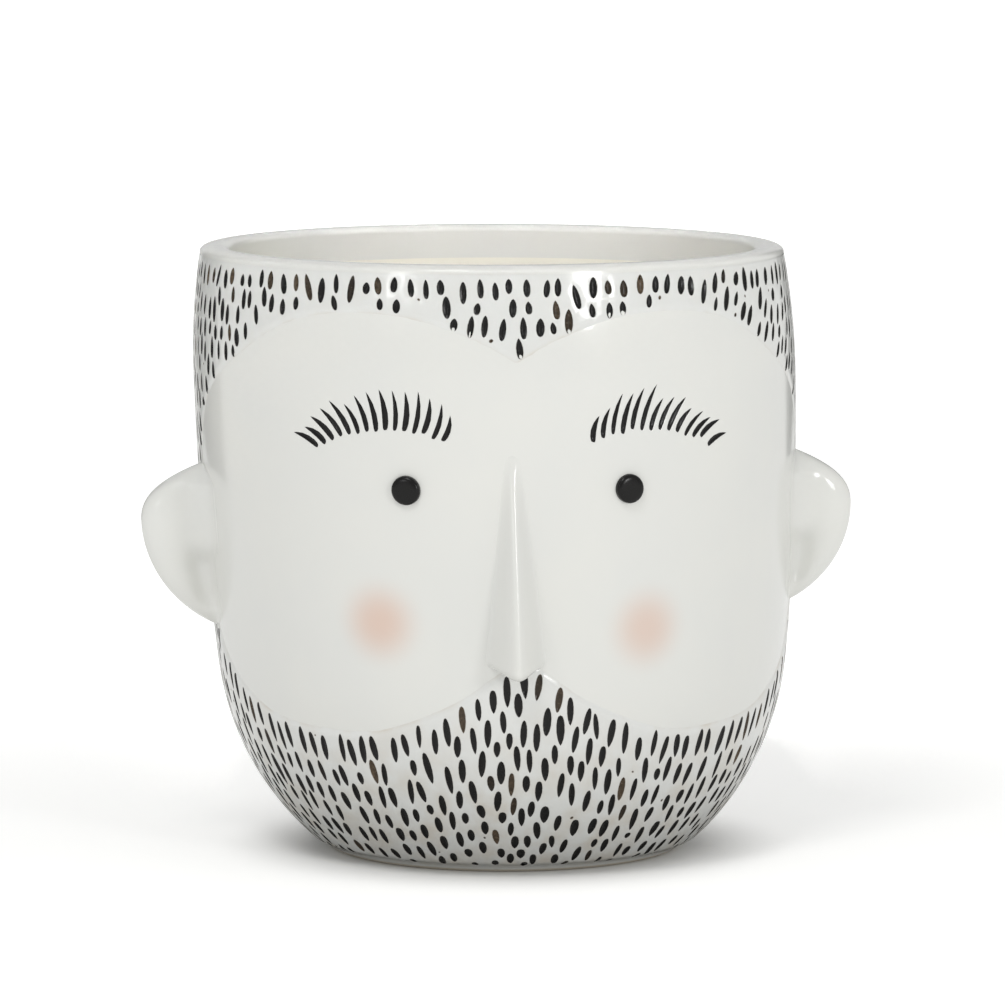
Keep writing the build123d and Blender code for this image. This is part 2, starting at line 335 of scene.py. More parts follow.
# Skin of the pot and layer of hair and beard: where they start over the foot and end under the rim, how the
# layer tapers and tucks in, and how the skin swells to it at the rim and sinks under it
SKIN_LOW_Z = 0.8 * MM
SKIN_HIGH_Z = HEIGHT - 1.9 * MM
LAYER_LOW_Z = 1.4 * MM
LAYER_HIGH_Z = HEIGHT - 2.2 * MM
FOOT_TAPER = 2.5 * MM
TUCK = 0.07 * MM
TUCK_RUN = 0.9 * MM
RIM_SWELL_Z = (HEIGHT - 3.7 * MM, HEIGHT - 2.4 * MM)
UNDER_START = 1.5 * MM
UNDER_RUN = 3.0 * MM
UNDER_DEPTH = 0.5 * MM
SKIN_RUNS = (float(run_at(SKIN_LOW_Z)), float(run_at(SKIN_HIGH_Z)))
LAYER_RUNS = (float(run_at(LAYER_LOW_Z)), float(run_at(LAYER_HIGH_Z)))


def face_level(sizes, z):
    """Level of the face: a deeper step to the beard than to the hair."""
    rise = smoothstep((np.asarray(z) - FACE_BOTTOM_Z) / FACE_HEIGHT)
    return sizes.chin_level + (sizes.brow_level - sizes.chin_level) * rise


def layer_level(sizes, around, run):
    """Level of hair and beard: a soft step up from the face, tucked in at the rim and the foot."""
    z = rise_at(run)
    step = smoothstep(clearance(around, run) / sizes.edge_width)
    low = face_level(sizes, z) - TUCK
    level = low + (sizes.layer_level - low) * step
    level = level * smoothstep((z - LAYER_LOW_Z) / FOOT_TAPER)
    return level - TUCK * smoothstep((z - LAYER_HIGH_Z + TUCK_RUN) / TUCK_RUN)


def shell_level(sizes, around, run):
    """Level of the pot's skin: the face, sunk under hair and beard, swelling to their level at the rim."""
    z = rise_at(run)
    under = smoothstep((clearance(around, run) - UNDER_START) / UNDER_RUN)
    swell = smoothstep((z - RIM_SWELL_Z[0]) / (RIM_SWELL_Z[1] - RIM_SWELL_Z[0]))
    foot = smoothstep((z - SKIN_LOW_Z) / (LAYER_LOW_Z - SKIN_LOW_Z))
    low = -UNDER_DEPTH * foot
    level = low + (face_level(sizes, z) - low) * (1 - under)
    return level + (sizes.layer_level - level) * swell


def field_normals(level_of, sizes, around, run):
    """Normals of the outside at a level field, from the field's slope."""
    step = SLOPE_STEP
    normals = on_outside(around, run, 0)[1]
    side = UNROLL_RADIUS / outside(rise_at(run))[0] * step
    slope_around = (level_of(sizes, around + side, run) - level_of(sizes, around - side, run)) / (2 * step)
    slope_up = (level_of(sizes, around, run + step) - level_of(sizes, around, run - step)) / (2 * step)
    angle = np.asarray(around) / UNROLL_RADIUS
    east = np.stack((np.cos(angle), np.sin(angle), 0 * angle), axis=-1)
    north = np.cross(normals, east)
    normals = normals - slope_around[:, None] * east - slope_up[:, None] * north
    return normals / np.linalg.norm(normals, axis=1, keepdims=True), east, north


# Shape of a stroke: ends, rings of points and how deep each lies as a share of the depth
ROUNDED = 0.75
POINTED = 1.45
WIDEST_SHIFT = 0.16
SPINE_SHARE = 0.55
BEND_MIDDLE = 0.3
LIP = 0.2 * MM
LIP_POINTS = 10
EDGE_POINTS = 14
INNER_POINTS = 8
SPINE_POINTS = 3
EDGE_DEPTH_SHARE = 0.16
INNER_DEPTH_SHARE = 0.8
INNER_LENGTH_SHARE = 0.74
INNER_WIDTH_SHARE = 0.5
LIP_TILT = radians(5)
EDGE_TILT = radians(26)
INNER_TILT = radians(30)

# Kinds of point from the lip of a stroke inwards, and what the triangulation works with and gives back
LIP_KIND, EDGE_KIND, INNER_KIND, SPINE_KIND = 1, 2, 3, 4
TINY = 1e-9
PLAIN_FACES = 0


class Stroke:
    """One carved stroke on the unrolled outside: its middle, lean, size, depth, shape and tint."""

    def __init__(self, around, run, lean, length, width, depth, blunt, stain, fade,
                 bend=0.0, shift=WIDEST_SHIFT):
        self.around, self.run, self.lean = around, run, lean
        self.bend, self.shift = bend, shift
        self.length, self.width, self.depth = length, width, depth
        self.blunt, self.stain, self.fade = blunt, stain, fade
        self.stretch = stretch_at(run)

    def place(self, across, along):
        """Unrolled place of a point across and along the stroke, which may be bent sideways."""
        across = across + self.bend * ((2 * along / self.length) ** 2 - BEND_MIDDLE)
        x = across * cos(self.lean) - along * sin(self.lean)
        y = across * sin(self.lean) + along * cos(self.lean)
        return self.around + x * self.stretch, self.run + y

    def ring(self, count, length, width):
        """Closed outline of a stroke: blunt at one end, pointed at the other."""
        points = []
        for number in range(count):
            turn = 2 * pi * number / count
            power = POINTED - (POINTED - ROUNDED) * (0.5 + 0.5 * self.blunt * cos(turn))
            across = abs(sin(turn)) ** power * (1 if sin(turn) >= 0 else -1)
            along = cos(turn) + self.shift * self.blunt * sin(turn) ** 2
            points.append((across * width / 2, along * length / 2))
        return points

    def spine(self, count):
        """Points along the middle of the stroke."""
        reach = self.length / 2 * SPINE_SHARE
        return [(0.0, reach * (2 * number / (count - 1) - 1)) for number in range(count)]


class Sheet:
    """Unrolled points with their dip, tilt and tints, and the edges that the triangles must keep."""

    def __init__(self):
        self.places, self.dips, self.tilts = [], [], []
        self.stains, self.fades, self.kinds, self.edges = [], [], [], []

    def add(self, place, dip=0.0, tilt=(0.0, 0.0), stain=0.0, fade=0.0, kind=0):
        """Add a point and return its number; kind counts how far inside a stroke the point is."""
        self.places.append(place)
        self.dips.append(dip)
        self.tilts.append(tilt)
        self.stains.append(stain)
        self.fades.append(fade)
        self.kinds.append(kind)
        return len(self.places) - 1

    def add_row(self, numbers):
        """Keep the edges between points in a row."""
        self.edges += list(zip(numbers, numbers[1:]))

    def add_stroke(self, stroke):
        """Add the lip, edge, inside and spine of a carved stroke."""
        rings = (
            (LIP_POINTS, stroke.length + 2 * LIP, stroke.width + 2 * LIP, 0.0, LIP_TILT, LIP_KIND),
            (EDGE_POINTS, stroke.length, stroke.width, EDGE_DEPTH_SHARE, EDGE_TILT, EDGE_KIND),
            (INNER_POINTS, stroke.length * INNER_LENGTH_SHARE, stroke.width * INNER_WIDTH_SHARE,
             INNER_DEPTH_SHARE, INNER_TILT, INNER_KIND),
        )
        lean_cos, lean_sin = cos(stroke.lean), sin(stroke.lean)
        for count, length, width, depth_share, tilt, kind in rings:
            numbers = []
            stain = stroke.stain if kind > LIP_KIND else 0.0
            for across, along in stroke.ring(count, length, width):
                x, y = across / width**2, along / length**2
                reach = max(hypot(x, y), TINY)
                lean = (x / reach * lean_cos - y / reach * lean_sin,
                        x / reach * lean_sin + y / reach * lean_cos)
                numbers.append(self.add(stroke.place(across, along), stroke.depth * depth_share,
                                        (-lean[0] * sin(tilt), -lean[1] * sin(tilt)),
                                        stain, stroke.fade, kind))
            self.add_row(numbers + numbers[:1])
        self.add_row([self.add(stroke.place(*point), stroke.depth, stain=stroke.stain, fade=stroke.fade,
                               kind=SPINE_KIND) for point in stroke.spine(SPINE_POINTS)])

    def triangulate(self):
        """Join the points to triangles. Crossing edges would add points, which is an error here."""
        places, _, triangles, _, _, _ = delaunay_2d_cdt(
            [Vector(place) for place in self.places], self.edges, [], PLAIN_FACES, TINY)
        if len(places) != len(self.places):
            raise RuntimeError(f"strokes or lines cross: {len(places) - len(self.places)} extra points")
        return np.array(triangles)


def welded(triangles, pairs):
    """Triangles with the numbers of the right seam replaced by those of the left."""
    swap = np.arange(triangles.max() + 1)
    for left, right in pairs:
        swap[right] = left
    return swap[triangles]


class StrokeField:
    """Strokes laid so far, kept in cells so that a new one can be held clear of them."""

    CELL = 4.0 * MM
    GAP = 2 * LIP + 0.12 * MM
    END_SHARE = 0.06
    PROBES = (-0.92, -0.62, -0.3, 0.0, 0.3, 0.62, 0.92)

    def __init__(self):
        self.strokes, self.cells = [], {}

    def discs(self, stroke):
        """Discs along a stroke that cover it, in unrolled places, with their radii."""
        return [(*stroke.place(0.0, share * stroke.length / 2),
                 stroke.width / 2 * sqrt(max(self.END_SHARE, 1 - share * share))) for share in self.PROBES]

    def cell(self, around, run):
        """Cell that an unrolled place is in."""
        return int(around // self.CELL), int(run // self.CELL)

    def clear_by(self, around, run, stretch, room):
        """Whether a place is further from every disc than the disc's radius and some room."""
        column, row = self.cell(around, run)
        discs = [disc for side in (-1, 0, 1) for up in (-1, 0, 1)
                 for disc in self.cells.get((column + side, row + up), ())]
        return all(hypot((around - x) / stretch, run - y) >= room + radius for x, y, radius in discs)

    def clear(self, stroke):
        """Whether a stroke keeps its distance from all others."""
        return all(self.clear_by(around, run, stroke.stretch, radius + self.GAP)
                   for around, run, radius in self.discs(stroke))

    def off(self, around, run):
        """Whether a place is clear of every stroke and its lip."""
        return self.clear_by(around, run, stretch_at(run), LIP + FILL_OFF_STROKE)

    def add(self, stroke):
        """Keep a stroke."""
        self.strokes.append(stroke)
        for disc in self.discs(stroke):
            self.cells.setdefault(self.cell(*disc[:2]), []).append(disc)


# How strokes are laid out: tries, jitter, and margins to the face's edge, the rim, the foot and the parting
TRIES = 12
STAGGER = (0.25, 0.75)
ROW_JITTER_SHARE = 0.12
SIDE_JITTER_SHARE = 0.13
LEAN_JITTER = radians(3.5)
LENGTH_JITTER = 0.11
WIDTH_JITTER = 0.11
SHORTEN_SHARE = 0.05
SHORTEN_AFTER = 2
BLUNT_RANGE = (0.1, 1.0)
STAIN_RANGE = (0.35, 1.0)
FADE_CHANCE = 0.08
HAIR_MARGIN = 0.5 * MM
BEARD_MARGIN = 1.0 * MM
RIM_MARGIN = 0.35 * MM
PARTING_MARGIN = 0.45 * MM
SEAM_MARGIN = 0.6 * MM
FOOT_MARGIN = 0.5 * MM

# Strokes by the foot are shorter and closer, and those by the rim less even
FOOT_SHORT_Z = 34.0 * MM
FOOT_SHORT_SHARE = 0.6
FOOT_PITCH_SHARE = 0.86
RIM_START = 0.52
RIM_FADE_RUN = 8.0 * MM
RIM_FADE_CHANCE = 0.14
RIM_JITTER_SHARE = 0.05
RIM_LENGTH_JITTER = 0.12

# Combing: how strokes turn away from the face's edge, and where the hair is swept aside
COMB_RUN = 14.0 * MM
COMB_STEP = 0.5 * MM
COMB_LIMIT = radians(60)
HAIR_COMB_SHARE = 0.45
BEARD_COMB_SHARE = 0.12
LEFT_COMB_SHARE = 0.25
HAIR_SWEEP = radians(-16)
HAIR_SWEEP_ANGLES = ((radians(5), radians(65)), (radians(120), radians(175)))

# Specks of glaze between the strokes
SPECK_COUNT = 320
SPECK_LENGTHS = (0.35 * MM, 1.1 * MM)
SPECK_WIDTH_SHARE = 0.75
SPECK_DEPTH = 0.05 * MM
SPECK_LEAN = radians(40)
SPECK_FADES = (0.2, 1.0)

# Points of the sheets: spacing of the seam, the parting, the fill and the rows along the face's edge
SEAM_SPACING = 2.0 * MM
PARTING_POINTS = 62
ROW_SHARE = 0.87
FILL_SPACING = 2.3 * MM
FILL_KEEP_OFF = 0.45 * MM
FILL_OFF_STROKE = 0.3 * MM
SKIN_SPACING = 2.2 * MM
BACK_SPACING = 5.0 * MM
BACK_KEEP_SHARE = 0.4
BACK_LEVEL = 0.2 * MM
EDGE_ROW_SLACK = 0.1
EDGE_ROW_DISTANCES = (0.35 * MM, 0.7 * MM, 1.05 * MM, 1.45 * MM, 1.9 * MM, 2.5 * MM)

# Wash on the carved ground: a little everywhere and more in the step round the face; the ground is also
# darker towards the foot
WASH_EVERYWHERE = 0.08
DARKENING_LOW_Z = 4.0 * MM
DARKENING_RISE = 50.0 * MM
WASH_STEP = 0.6 * MM
WASH_STEP_WIDTH = 0.4 * MM
WASH_STEP_SHARE = 0.35
FOOT_DARKENING = 0.5

# Brows: node, side, count of strokes, lean at the inner end, swing to the outer end and the swing's power
BROWS = (("left_brow", 1, 14, radians(14.5), radians(55), 2.0),
         ("right_brow", -1, 15, radians(18), radians(-86), 1.4))

# Place, length, width and shape of the brow strokes from the inner end to the outer end
BROW_INNER_ANGLE = radians(13.7)
BROW_OUTER_ANGLE = radians(39.0)
BROW_Z = HEIGHT * 0.7228
BROW_ROOT_BOW = 3.1 * MM
BROW_ROOT_DROP = 2.0 * MM
BROW_LENGTH = 6.2 * MM
BROW_LENGTH_BOW = 3.0 * MM
BROW_LENGTH_GAIN = 0.9 * MM
BROW_LENGTH_SKEW = 0.55
BROW_LENGTH_JITTER = 0.09
BROW_ROOT_JITTER = 0.25 * MM
BROW_TRIES = 12
BROW_WIDTH = 1.32 * MM
BROW_WIDTH_JITTER = 0.1
BROW_WIDEST_SHIFT = 0.42
BROW_BEND = 0.6 * MM
BROW_DEPTH = 0.45 * MM
BROW_STAIN = 0.4
BROW_LIFT = 0.02 * MM
BROW_BACK = 0.3 * MM

# Pot: shape of its lip, steps of its rim, wall and fillets, and which finish is where
LIP_STEPS = 18
LIP_SQUARENESS = 2.3
WALL_STEPS = 14
FILLET_STEPS = 6
FILLET_ROOM = 0.9
FACE_FINISH, CREAM_FINISH, CLAY_FINISH = 0, 1, 2

# Nose: a ridge that widens downwards, flared softly into the face, its tip lower than its wings
NOSE_TOP_Z = HEIGHT * 0.703
NOSE_BOTTOM_Z = HEIGHT * 0.358
NOSE_TILT = radians(4)
NOSE_SIDE = -1.5 * MM
BRIDGE_WIDTH = 4.0 * MM
NOSE_RIDGE = 0.5
NOSE_FLANK = 1.55
NOSE_RISE_POWER = 1.1
NOSE_EDGE = 2.2 * MM
NOSE_BURIED = 1.2 * MM
NOSE_SECTIONS = 52
NOSE_EDGE_STEPS = 6
NOSE_UNDER_SHARES = (0.85, 0.65, 0.45, 0.25, 0.08)
NOSE_STEPS = 44

# Ears: an arc below the widest place and a leaner curve above, a pillowed front with a hollow under a crease
EAR_ANGLE = radians(83.5)
EAR_WIDEST_SHARE = 0.62
EAR_BOTTOM_SHARES = {"left_ear": 0.411, "right_ear": 0.379}
EAR_SECTIONS = 34
EAR_TOP_POWER = 2.6
EAR_PILLOW = 3.0
EAR_END_POWER = 5
EAR_UPPER_FILLET = 7.0 * MM
EAR_LOWER_FILLET = 4.4 * MM
EAR_BACK_FILLET = 3.0 * MM
EAR_FILLET_SHARE = 0.7
EAR_HOLLOW = 2.8 * MM
EAR_HOLLOW_PLACE = 0.12
EAR_HOLLOW_WIDTH = 0.42
EAR_CREASE_SHARE = 0.54
EAR_CREASE_RUN = 0.17
EAR_LOBE_RUN = 0.22
EAR_TURN = radians(88)
EAR_BURIED = 0.6 * MM
EAR_STEPS = 40

# Eyes: round buttons with a soft shoulder
EYE_ANGLE = radians(21.1)
EYE_Z = HEIGHT * 0.644
EYE_SHOULDER = 4.0
EYE_SUNK = 0.8 * MM
EYE_RINGS = 14
EYE_POINTS = 48


def comb(around, run, share, up):
    """Lean of a stroke that is combed away from the face's edge, by less the further off it is."""
    gap = float(clearance(around, run)[0])
    step = COMB_STEP
    slope_x = float(clearance(around + step, run)[0] - clearance(around - step, run)[0])
    slope_y = float(clearance(around, run + step)[0] - clearance(around, run - step)[0])
    lean = atan2(-up * slope_x, up * slope_y)
    lean = max(-COMB_LIMIT, min(COMB_LIMIT, lean))
    lean *= share * float(1 - smoothstep(gap / COMB_RUN))
    if up > 0:
        angle = around / UNROLL_RADIUS
        swept, back = (smoothstep((angle - start) / (end - start)) for start, end in HAIR_SWEEP_ANGLES)
        lean = (max(lean, 0.0) * LEFT_COMB_SHARE + min(lean, 0.0)) + HAIR_SWEEP * float(swept * (1 - back))
    return lean


def fits(stroke, margin, low_run, high_run):
    """Whether a stroke lies between two ways up the profile, off the face and off the seam."""
    ends = np.array([stroke.place(across, along) for across, along in stroke.ring(
        LIP_POINTS, stroke.length + 2 * LIP, stroke.width + 2 * LIP)])
    if ends[:, 1].min() < low_run or ends[:, 1].max() > high_run:
        return False
    if np.abs(ends[:, 0]).max() > HALF_TURN - SEAM_MARGIN:
        return False
    return clearance(*ends.T).min() > margin


def lay_row(field, chance, sizes, row, row_run, span, kind):
    """Lay one row of strokes between two places round the pot; row_run gives its height at a place."""
    length, spacing, margin, low_run, high_run, comb_share, up = kind
    start, end = span
    middle = (start + end) / 2
    if row_run(start) == row_run(middle):
        radius = float(outside(rise_at(row_run(middle)))[0])
        count = round((end - start) * radius / (spacing * UNROLL_RADIUS))
        places = [start + (end - start) * (number + STAGGER[row % 2]) / count for number in range(count)]
    else:
        places = []
        for side in (-1, 1):
            around = middle + side * spacing * (0.5 if row % 2 else (0 if side > 0 else 1))
            while start < around < end:
                places.append(around)
                radius = float(outside(rise_at(row_run(around)))[0])
                around += side * spacing * UNROLL_RADIUS / radius
    for around in places:
        rim = 0.0
        if up > 0:
            rim = float(smoothstep((row_run(around) - high_run + RIM_FADE_RUN) / RIM_FADE_RUN))
        for attempt in range(TRIES):
            run = row_run(around) + chance.gauss(0, ROW_JITTER_SHARE + RIM_JITTER_SHARE * rim) * length
            place = around + chance.gauss(0, SIDE_JITTER_SHARE) * spacing
            short = 1 - SHORTEN_SHARE * max(0, attempt - SHORTEN_AFTER)
            foot = FOOT_SHORT_SHARE + (1 - FOOT_SHORT_SHARE) * float(smoothstep(rise_at(run) / FOOT_SHORT_Z))
            stroke = Stroke(
                place, run, comb(place, run, comb_share, up) + chance.gauss(0, LEAN_JITTER * (1 + rim)),
                length * foot * short * (1 + chance.gauss(0, LENGTH_JITTER + RIM_LENGTH_JITTER * rim)),
                sizes.stroke_width * (1 + chance.gauss(0, WIDTH_JITTER)),
                sizes.stroke_depth, -up * chance.uniform(*BLUNT_RANGE), chance.uniform(*STAIN_RANGE),
                chance.random() if chance.random() < FADE_CHANCE + RIM_FADE_CHANCE * rim else 0.0)
            if fits(stroke, margin, low_run, high_run) and field.clear(stroke):
                field.add(stroke)
                break


def lay_strokes(sizes, seed):
    """Strokes of hair and beard in rows: hair down from the rim, beard down from the face and the parting."""
    chance = random.Random(seed)
    field = StrokeField()
    foot, top = LAYER_RUNS[0] + FOOT_MARGIN, LAYER_RUNS[1] - RIM_MARGIN
    hair_band, beard_band = (PARTING_RUN + PARTING_MARGIN, top), (foot, PARTING_RUN - PARTING_MARGIN)
    hair = (sizes.hair_stroke, sizes.hair_spacing, HAIR_MARGIN, *hair_band, HAIR_COMB_SHARE, 1)
    beard = (sizes.beard_stroke, sizes.beard_spacing, BEARD_MARGIN, *beard_band, BEARD_COMB_SHARE, -1)
    hair_rows = round((top - PARTING_RUN) / sizes.hair_pitch)
    hair_pitch = (top - PARTING_RUN) / hair_rows
    for row in range(hair_rows):
        lay_row(field, chance, sizes, row, lambda around: top - (row + RIM_START) * hair_pitch,
                (-HALF_TURN, HALF_TURN), hair)
    beard_rows = ceil((PARTING_RUN - foot) / (sizes.beard_pitch * FOOT_PITCH_SHARE))
    spans = ((-FACE_SIDE, FACE_SIDE), (FACE_SIDE, HALF_TURN), (-HALF_TURN, -FACE_SIDE))
    for start, end in spans:
        in_front = start < 0 < end
        first = (BEARD_MARGIN if in_front else PARTING_MARGIN) + LIP + sizes.beard_stroke / 2

        def row_run(around):
            """Way up the profile of the present row at a place round the pot."""
            row_top = float(np.interp(abs(around), *BEARD_LINE.T)) if in_front else PARTING_RUN
            share = 1 - (1 - FOOT_PITCH_SHARE) * row / beard_rows
            return max(0.0, row_top - first - row * sizes.beard_pitch * share)

        for row in range(beard_rows):
            lay_row(field, chance, sizes, row, row_run, (start, end), beard)
    for number in range(SPECK_COUNT):
        around = chance.uniform(-HALF_TURN, HALF_TURN)
        low_run, high_run = hair_band if number % 2 else beard_band
        run = chance.uniform(low_run, high_run)
        length = chance.uniform(*SPECK_LENGTHS)
        speck = Stroke(around, run, chance.gauss(0, SPECK_LEAN), length, length * SPECK_WIDTH_SHARE,
                       SPECK_DEPTH, blunt=0.0, stain=STAIN_RANGE[1], fade=chance.uniform(*SPECK_FADES))
        if fits(speck, BEARD_MARGIN, low_run, high_run) and field.clear(speck):
            field.add(speck)
    return field


def lay_brow(field, chance, side, count, inner_lean, swing, power):
    """Strokes of one brow, fanned from its inner end to its outer end, as uneven as brushed ones."""
    strokes = []
    for number in range(count):
        place = number / (count - 1)
        bow = 4 * place * (1 - place)
        angle = side * (BROW_INNER_ANGLE + (BROW_OUTER_ANGLE - BROW_INNER_ANGLE) * place)
        lean = -(inner_lean + swing * place**power)
        for attempt in range(BROW_TRIES):
            jitter = 1 - attempt / (BROW_TRIES - 1)
            root_z = BROW_Z + BROW_ROOT_BOW * bow - BROW_ROOT_DROP * place
            root_z += chance.gauss(0, BROW_ROOT_JITTER * jitter)
            length = BROW_LENGTH + BROW_LENGTH_GAIN * place
            length += BROW_LENGTH_BOW * sin(pi * place**BROW_LENGTH_SKEW)
            length *= 1 + chance.gauss(0, BROW_LENGTH_JITTER * jitter)
            stretch = UNROLL_RADIUS / float(outside(root_z)[0])
            stroke = Stroke(angle * UNROLL_RADIUS - sin(lean) * length / 2 * stretch,
                            float(run_at(root_z)) + length / 2 * cos(lean), lean, length,
                            BROW_WIDTH * (1 + chance.gauss(0, BROW_WIDTH_JITTER * jitter)), BROW_DEPTH,
                            blunt=-1.0, stain=BROW_STAIN, fade=0.0, bend=side * BROW_BEND,
                            shift=BROW_WIDEST_SHIFT)
            if field.clear(stroke):
                break
        field.add(stroke)
        strokes.append(stroke)
    return strokes


def outline_parts():
    """The face's outline as one closed line with points at its corners and at the parting."""
    side_top, side_low = HAIRLINE[-1], BEARD_LINE[-1]
    parting = np.array((FACE_SIDE, PARTING_RUN))
    half = even_line(HAIRLINE, OUTLINE_SPACING)
    for part in ((side_top, parting), (parting, side_low)):
        half = np.vstack((half, even_line(np.array(part), OUTLINE_SPACING)[1:]))
    half = np.vstack((half, even_line(BEARD_LINE[::-1], OUTLINE_SPACING)[1:]))
    return np.vstack((half, (half * (-1, 1))[::-1][1:-1]))


def sheet_border(sheet, low_run, high_run, marks):
    """Add the border of the unrolled sheet; returns its two sides, which meet behind, and its two rows."""
    runs = []
    ends = (low_run, *marks, high_run)
    for start, end in zip(ends, ends[1:]):
        runs += list(np.linspace(start, end, ceil((end - start) / SEAM_SPACING) + 1)[:-1])
    runs.append(high_run)
    sides = [[sheet.add((side * HALF_TURN, run)) for run in runs] for side in (-1, 1)]
    for numbers in sides:
        sheet.add_row(numbers)
    inner = np.linspace(-HALF_TURN, HALF_TURN, SEGMENTS + 1)[1:-1]
    rows = []
    for corner in (0, -1):
        row = [sheet.add((around, runs[corner])) for around in inner]
        row = [sides[0][corner], *row, sides[1][corner]]
        sheet.add_row(row)
        rows.append(row)
    return sides, rows


def layer_border(sheet):
    """Add the border of hair and beard: rim, foot, seam, face outline and parting."""
    sides = sheet_border(sheet, *LAYER_RUNS, (PARTING_RUN,))[0]
    numbers = [sheet.add(tuple(place)) for place in outline_parts()]
    sheet.add_row(numbers + numbers[:1])
    seam_mark = [place for place, number in enumerate(sides[0])
                 if abs(sheet.places[number][1] - PARTING_RUN) < TINY][0]
    for side, seam in ((-1, sides[0][seam_mark]), (1, sides[1][seam_mark])):
        corner = min(numbers, key=lambda number: hypot(
            sheet.places[number][0] - side * FACE_SIDE, sheet.places[number][1] - PARTING_RUN))
        between = np.linspace(side * FACE_SIDE, side * HALF_TURN, PARTING_POINTS)[1:-1]
        sheet.add_row([corner, *[sheet.add((around, PARTING_RUN)) for around in between], seam])
    return sides, seam_mark


def fill(sheet, field, spacing, low_run, high_run, keep_off):
    """Add a staggered grid of points, clear of strokes and lines already in the sheet."""
    taken = line_tree(sheet.places)
    rows = int((high_run - low_run) / (spacing * ROW_SHARE))
    columns = int(2 * HALF_TURN / spacing)
    for row in range(1, rows):
        run = low_run + row * (high_run - low_run) / rows
        for column in range(columns):
            around = -HALF_TURN + (column + STAGGER[row % 2]) * 2 * HALF_TURN / columns
            if taken.find((around, run, 0))[2] > keep_off and field.off(around, run):
                sheet.add((around, run))


def edge_rows(sheet, field, distances):
    """Add rows of points along the face's outline, at distances outside it, clear of strokes."""
    outline = outline_parts()
    ahead, behind = np.roll(outline, -1, axis=0), np.roll(outline, 1, axis=0)
    along = ahead - behind
    normals = np.stack((-along[:, 1], along[:, 0]), axis=-1) / np.hypot(*along.T)[:, None]
    for distance in distances:
        row = outline + normals * distance
        gaps = clearance(*row.T)
        last = None
        for (around, run), gap in zip(row, gaps):
            if abs(gap - distance) > distance * EDGE_ROW_SLACK or not field.off(around, run):
                continue
            if abs(run - PARTING_RUN) < OUTLINE_SPACING / 2:
                continue
            if last is None or hypot(around - last[0], run - last[1]) > OUTLINE_SPACING / 2:
                sheet.add((around, run))
                last = (around, run)


def sheet_arrays(sheet, level_of, sizes):
    """Points and normals of a sheet on the outside, with its dips and tilts."""
    around, run = np.array(sheet.places).T
    normals, east, north = field_normals(level_of, sizes, around, run)
    level = level_of(sizes, around, run) - np.array(sheet.dips)
    points = on_outside(around, run, level)[0]
    tilts = np.array(sheet.tilts)
    normals = normals + tilts[:, :1] * east + tilts[:, 1:] * north
    return points, normals / np.linalg.norm(normals, axis=1, keepdims=True)


def leaned(points):
    """Points moved aside with the lean of the pot, which starts above its foot."""
    points = np.array(points, float)
    share = np.clip((points[:, 2] - LEAN_START_Z) / (HEIGHT - LEAN_START_Z), 0, 1)
    points[:, 0] -= bpy.context.scene.head_planter_sizes.lean * share
    return points


def add_piece(name, points, faces, materials, indices=None, normals=None, tints=None):
    """New mesh object from points and faces, smooth, with its materials, own normals and tints."""
    points = leaned(points)
    mesh = bpy.data.meshes.new(name)
    mesh.from_pydata([tuple(point) for point in points], [], [tuple(face) for face in faces])
    for material in materials:
        mesh.materials.append(material)
    if indices is not None:
        mesh.polygons.foreach_set("material_index", np.asarray(indices, np.int32))
    for tint, values in (tints or {}).items():
        mesh.attributes.new(tint, "FLOAT", "POINT").data.foreach_set("value", np.asarray(values, np.float32))
    mesh.shade_smooth()
    if normals is not None:
        mesh.normals_split_custom_set_from_vertices([tuple(normal) for normal in normals])
    if mesh.validate():
        raise RuntimeError(f"{name}: faces that can't stand")
    piece = bpy.data.objects.new(name, mesh)
    bpy.context.scene.collection.objects.link(piece)
    return piece


def stand_for(piece, node, body):
    """The piece takes a node's place and rides on its body."""
    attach(piece, body)
    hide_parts(node)


def compact(triangles, *columns):
    """Triangles renumbered over the points that they use, and those points' columns."""
    used, numbers = np.unique(triangles, return_inverse=True)
    return numbers.reshape(triangles.shape), *[np.asarray(column)[used] for column in columns]


def loops_to_faces(count, length):
    """Faces of a tube of closed loops, with a fan over the first and the last loop's middle point."""
    faces = []
    for row in range(count - 1):
        for place in range(length):
            beside = (place + 1) % length
            faces.append((row * length + place, row * length + beside,
                          (row + 1) * length + beside, (row + 1) * length + place))
    first, last = count * length, count * length + 1
    for place in range(length):
        beside = (place + 1) % length
        faces.append((first, beside, place))
        faces.append((last, (count - 1) * length + place, (count - 1) * length + beside))
    return faces


def tube_piece(name, loops, material):
    """Closed piece from a row of closed loops."""
    loops = np.asarray(loops)
    points = np.vstack((loops.reshape(-1, 3), loops[0].mean(axis=0), loops[-1].mean(axis=0)))
    piece = add_piece(name, points, loops_to_faces(*loops.shape[:2]), [material])
    bm = bmesh.new()
    bm.from_mesh(piece.data)
    bmesh.ops.recalc_face_normals(bm, faces=bm.faces)
    bm.to_mesh(piece.data)
    bm.free()
    return piece


def add_node(tree, kind, settings=None, links=None):
    """Add a shader node, set its sockets and fields, and link its inputs."""
    node = tree.nodes.new(kind)
    for name, value in (settings or {}).items():
        if isinstance(name, int) or name in node.inputs:
            node.inputs[name].default_value = value
        else:
            setattr(node, name, value)
    for name, source in (links or {}).items():
        tree.links.new(source, node.inputs[name])
    return node


def new_material(name):
    """Empty node material, its tree and the output node."""
    material = bpy.data.materials.new(name)
    material.use_nodes = True
    material.node_tree.nodes.clear()
    return material, material.node_tree, add_node(material.node_tree, "ShaderNodeOutputMaterial")


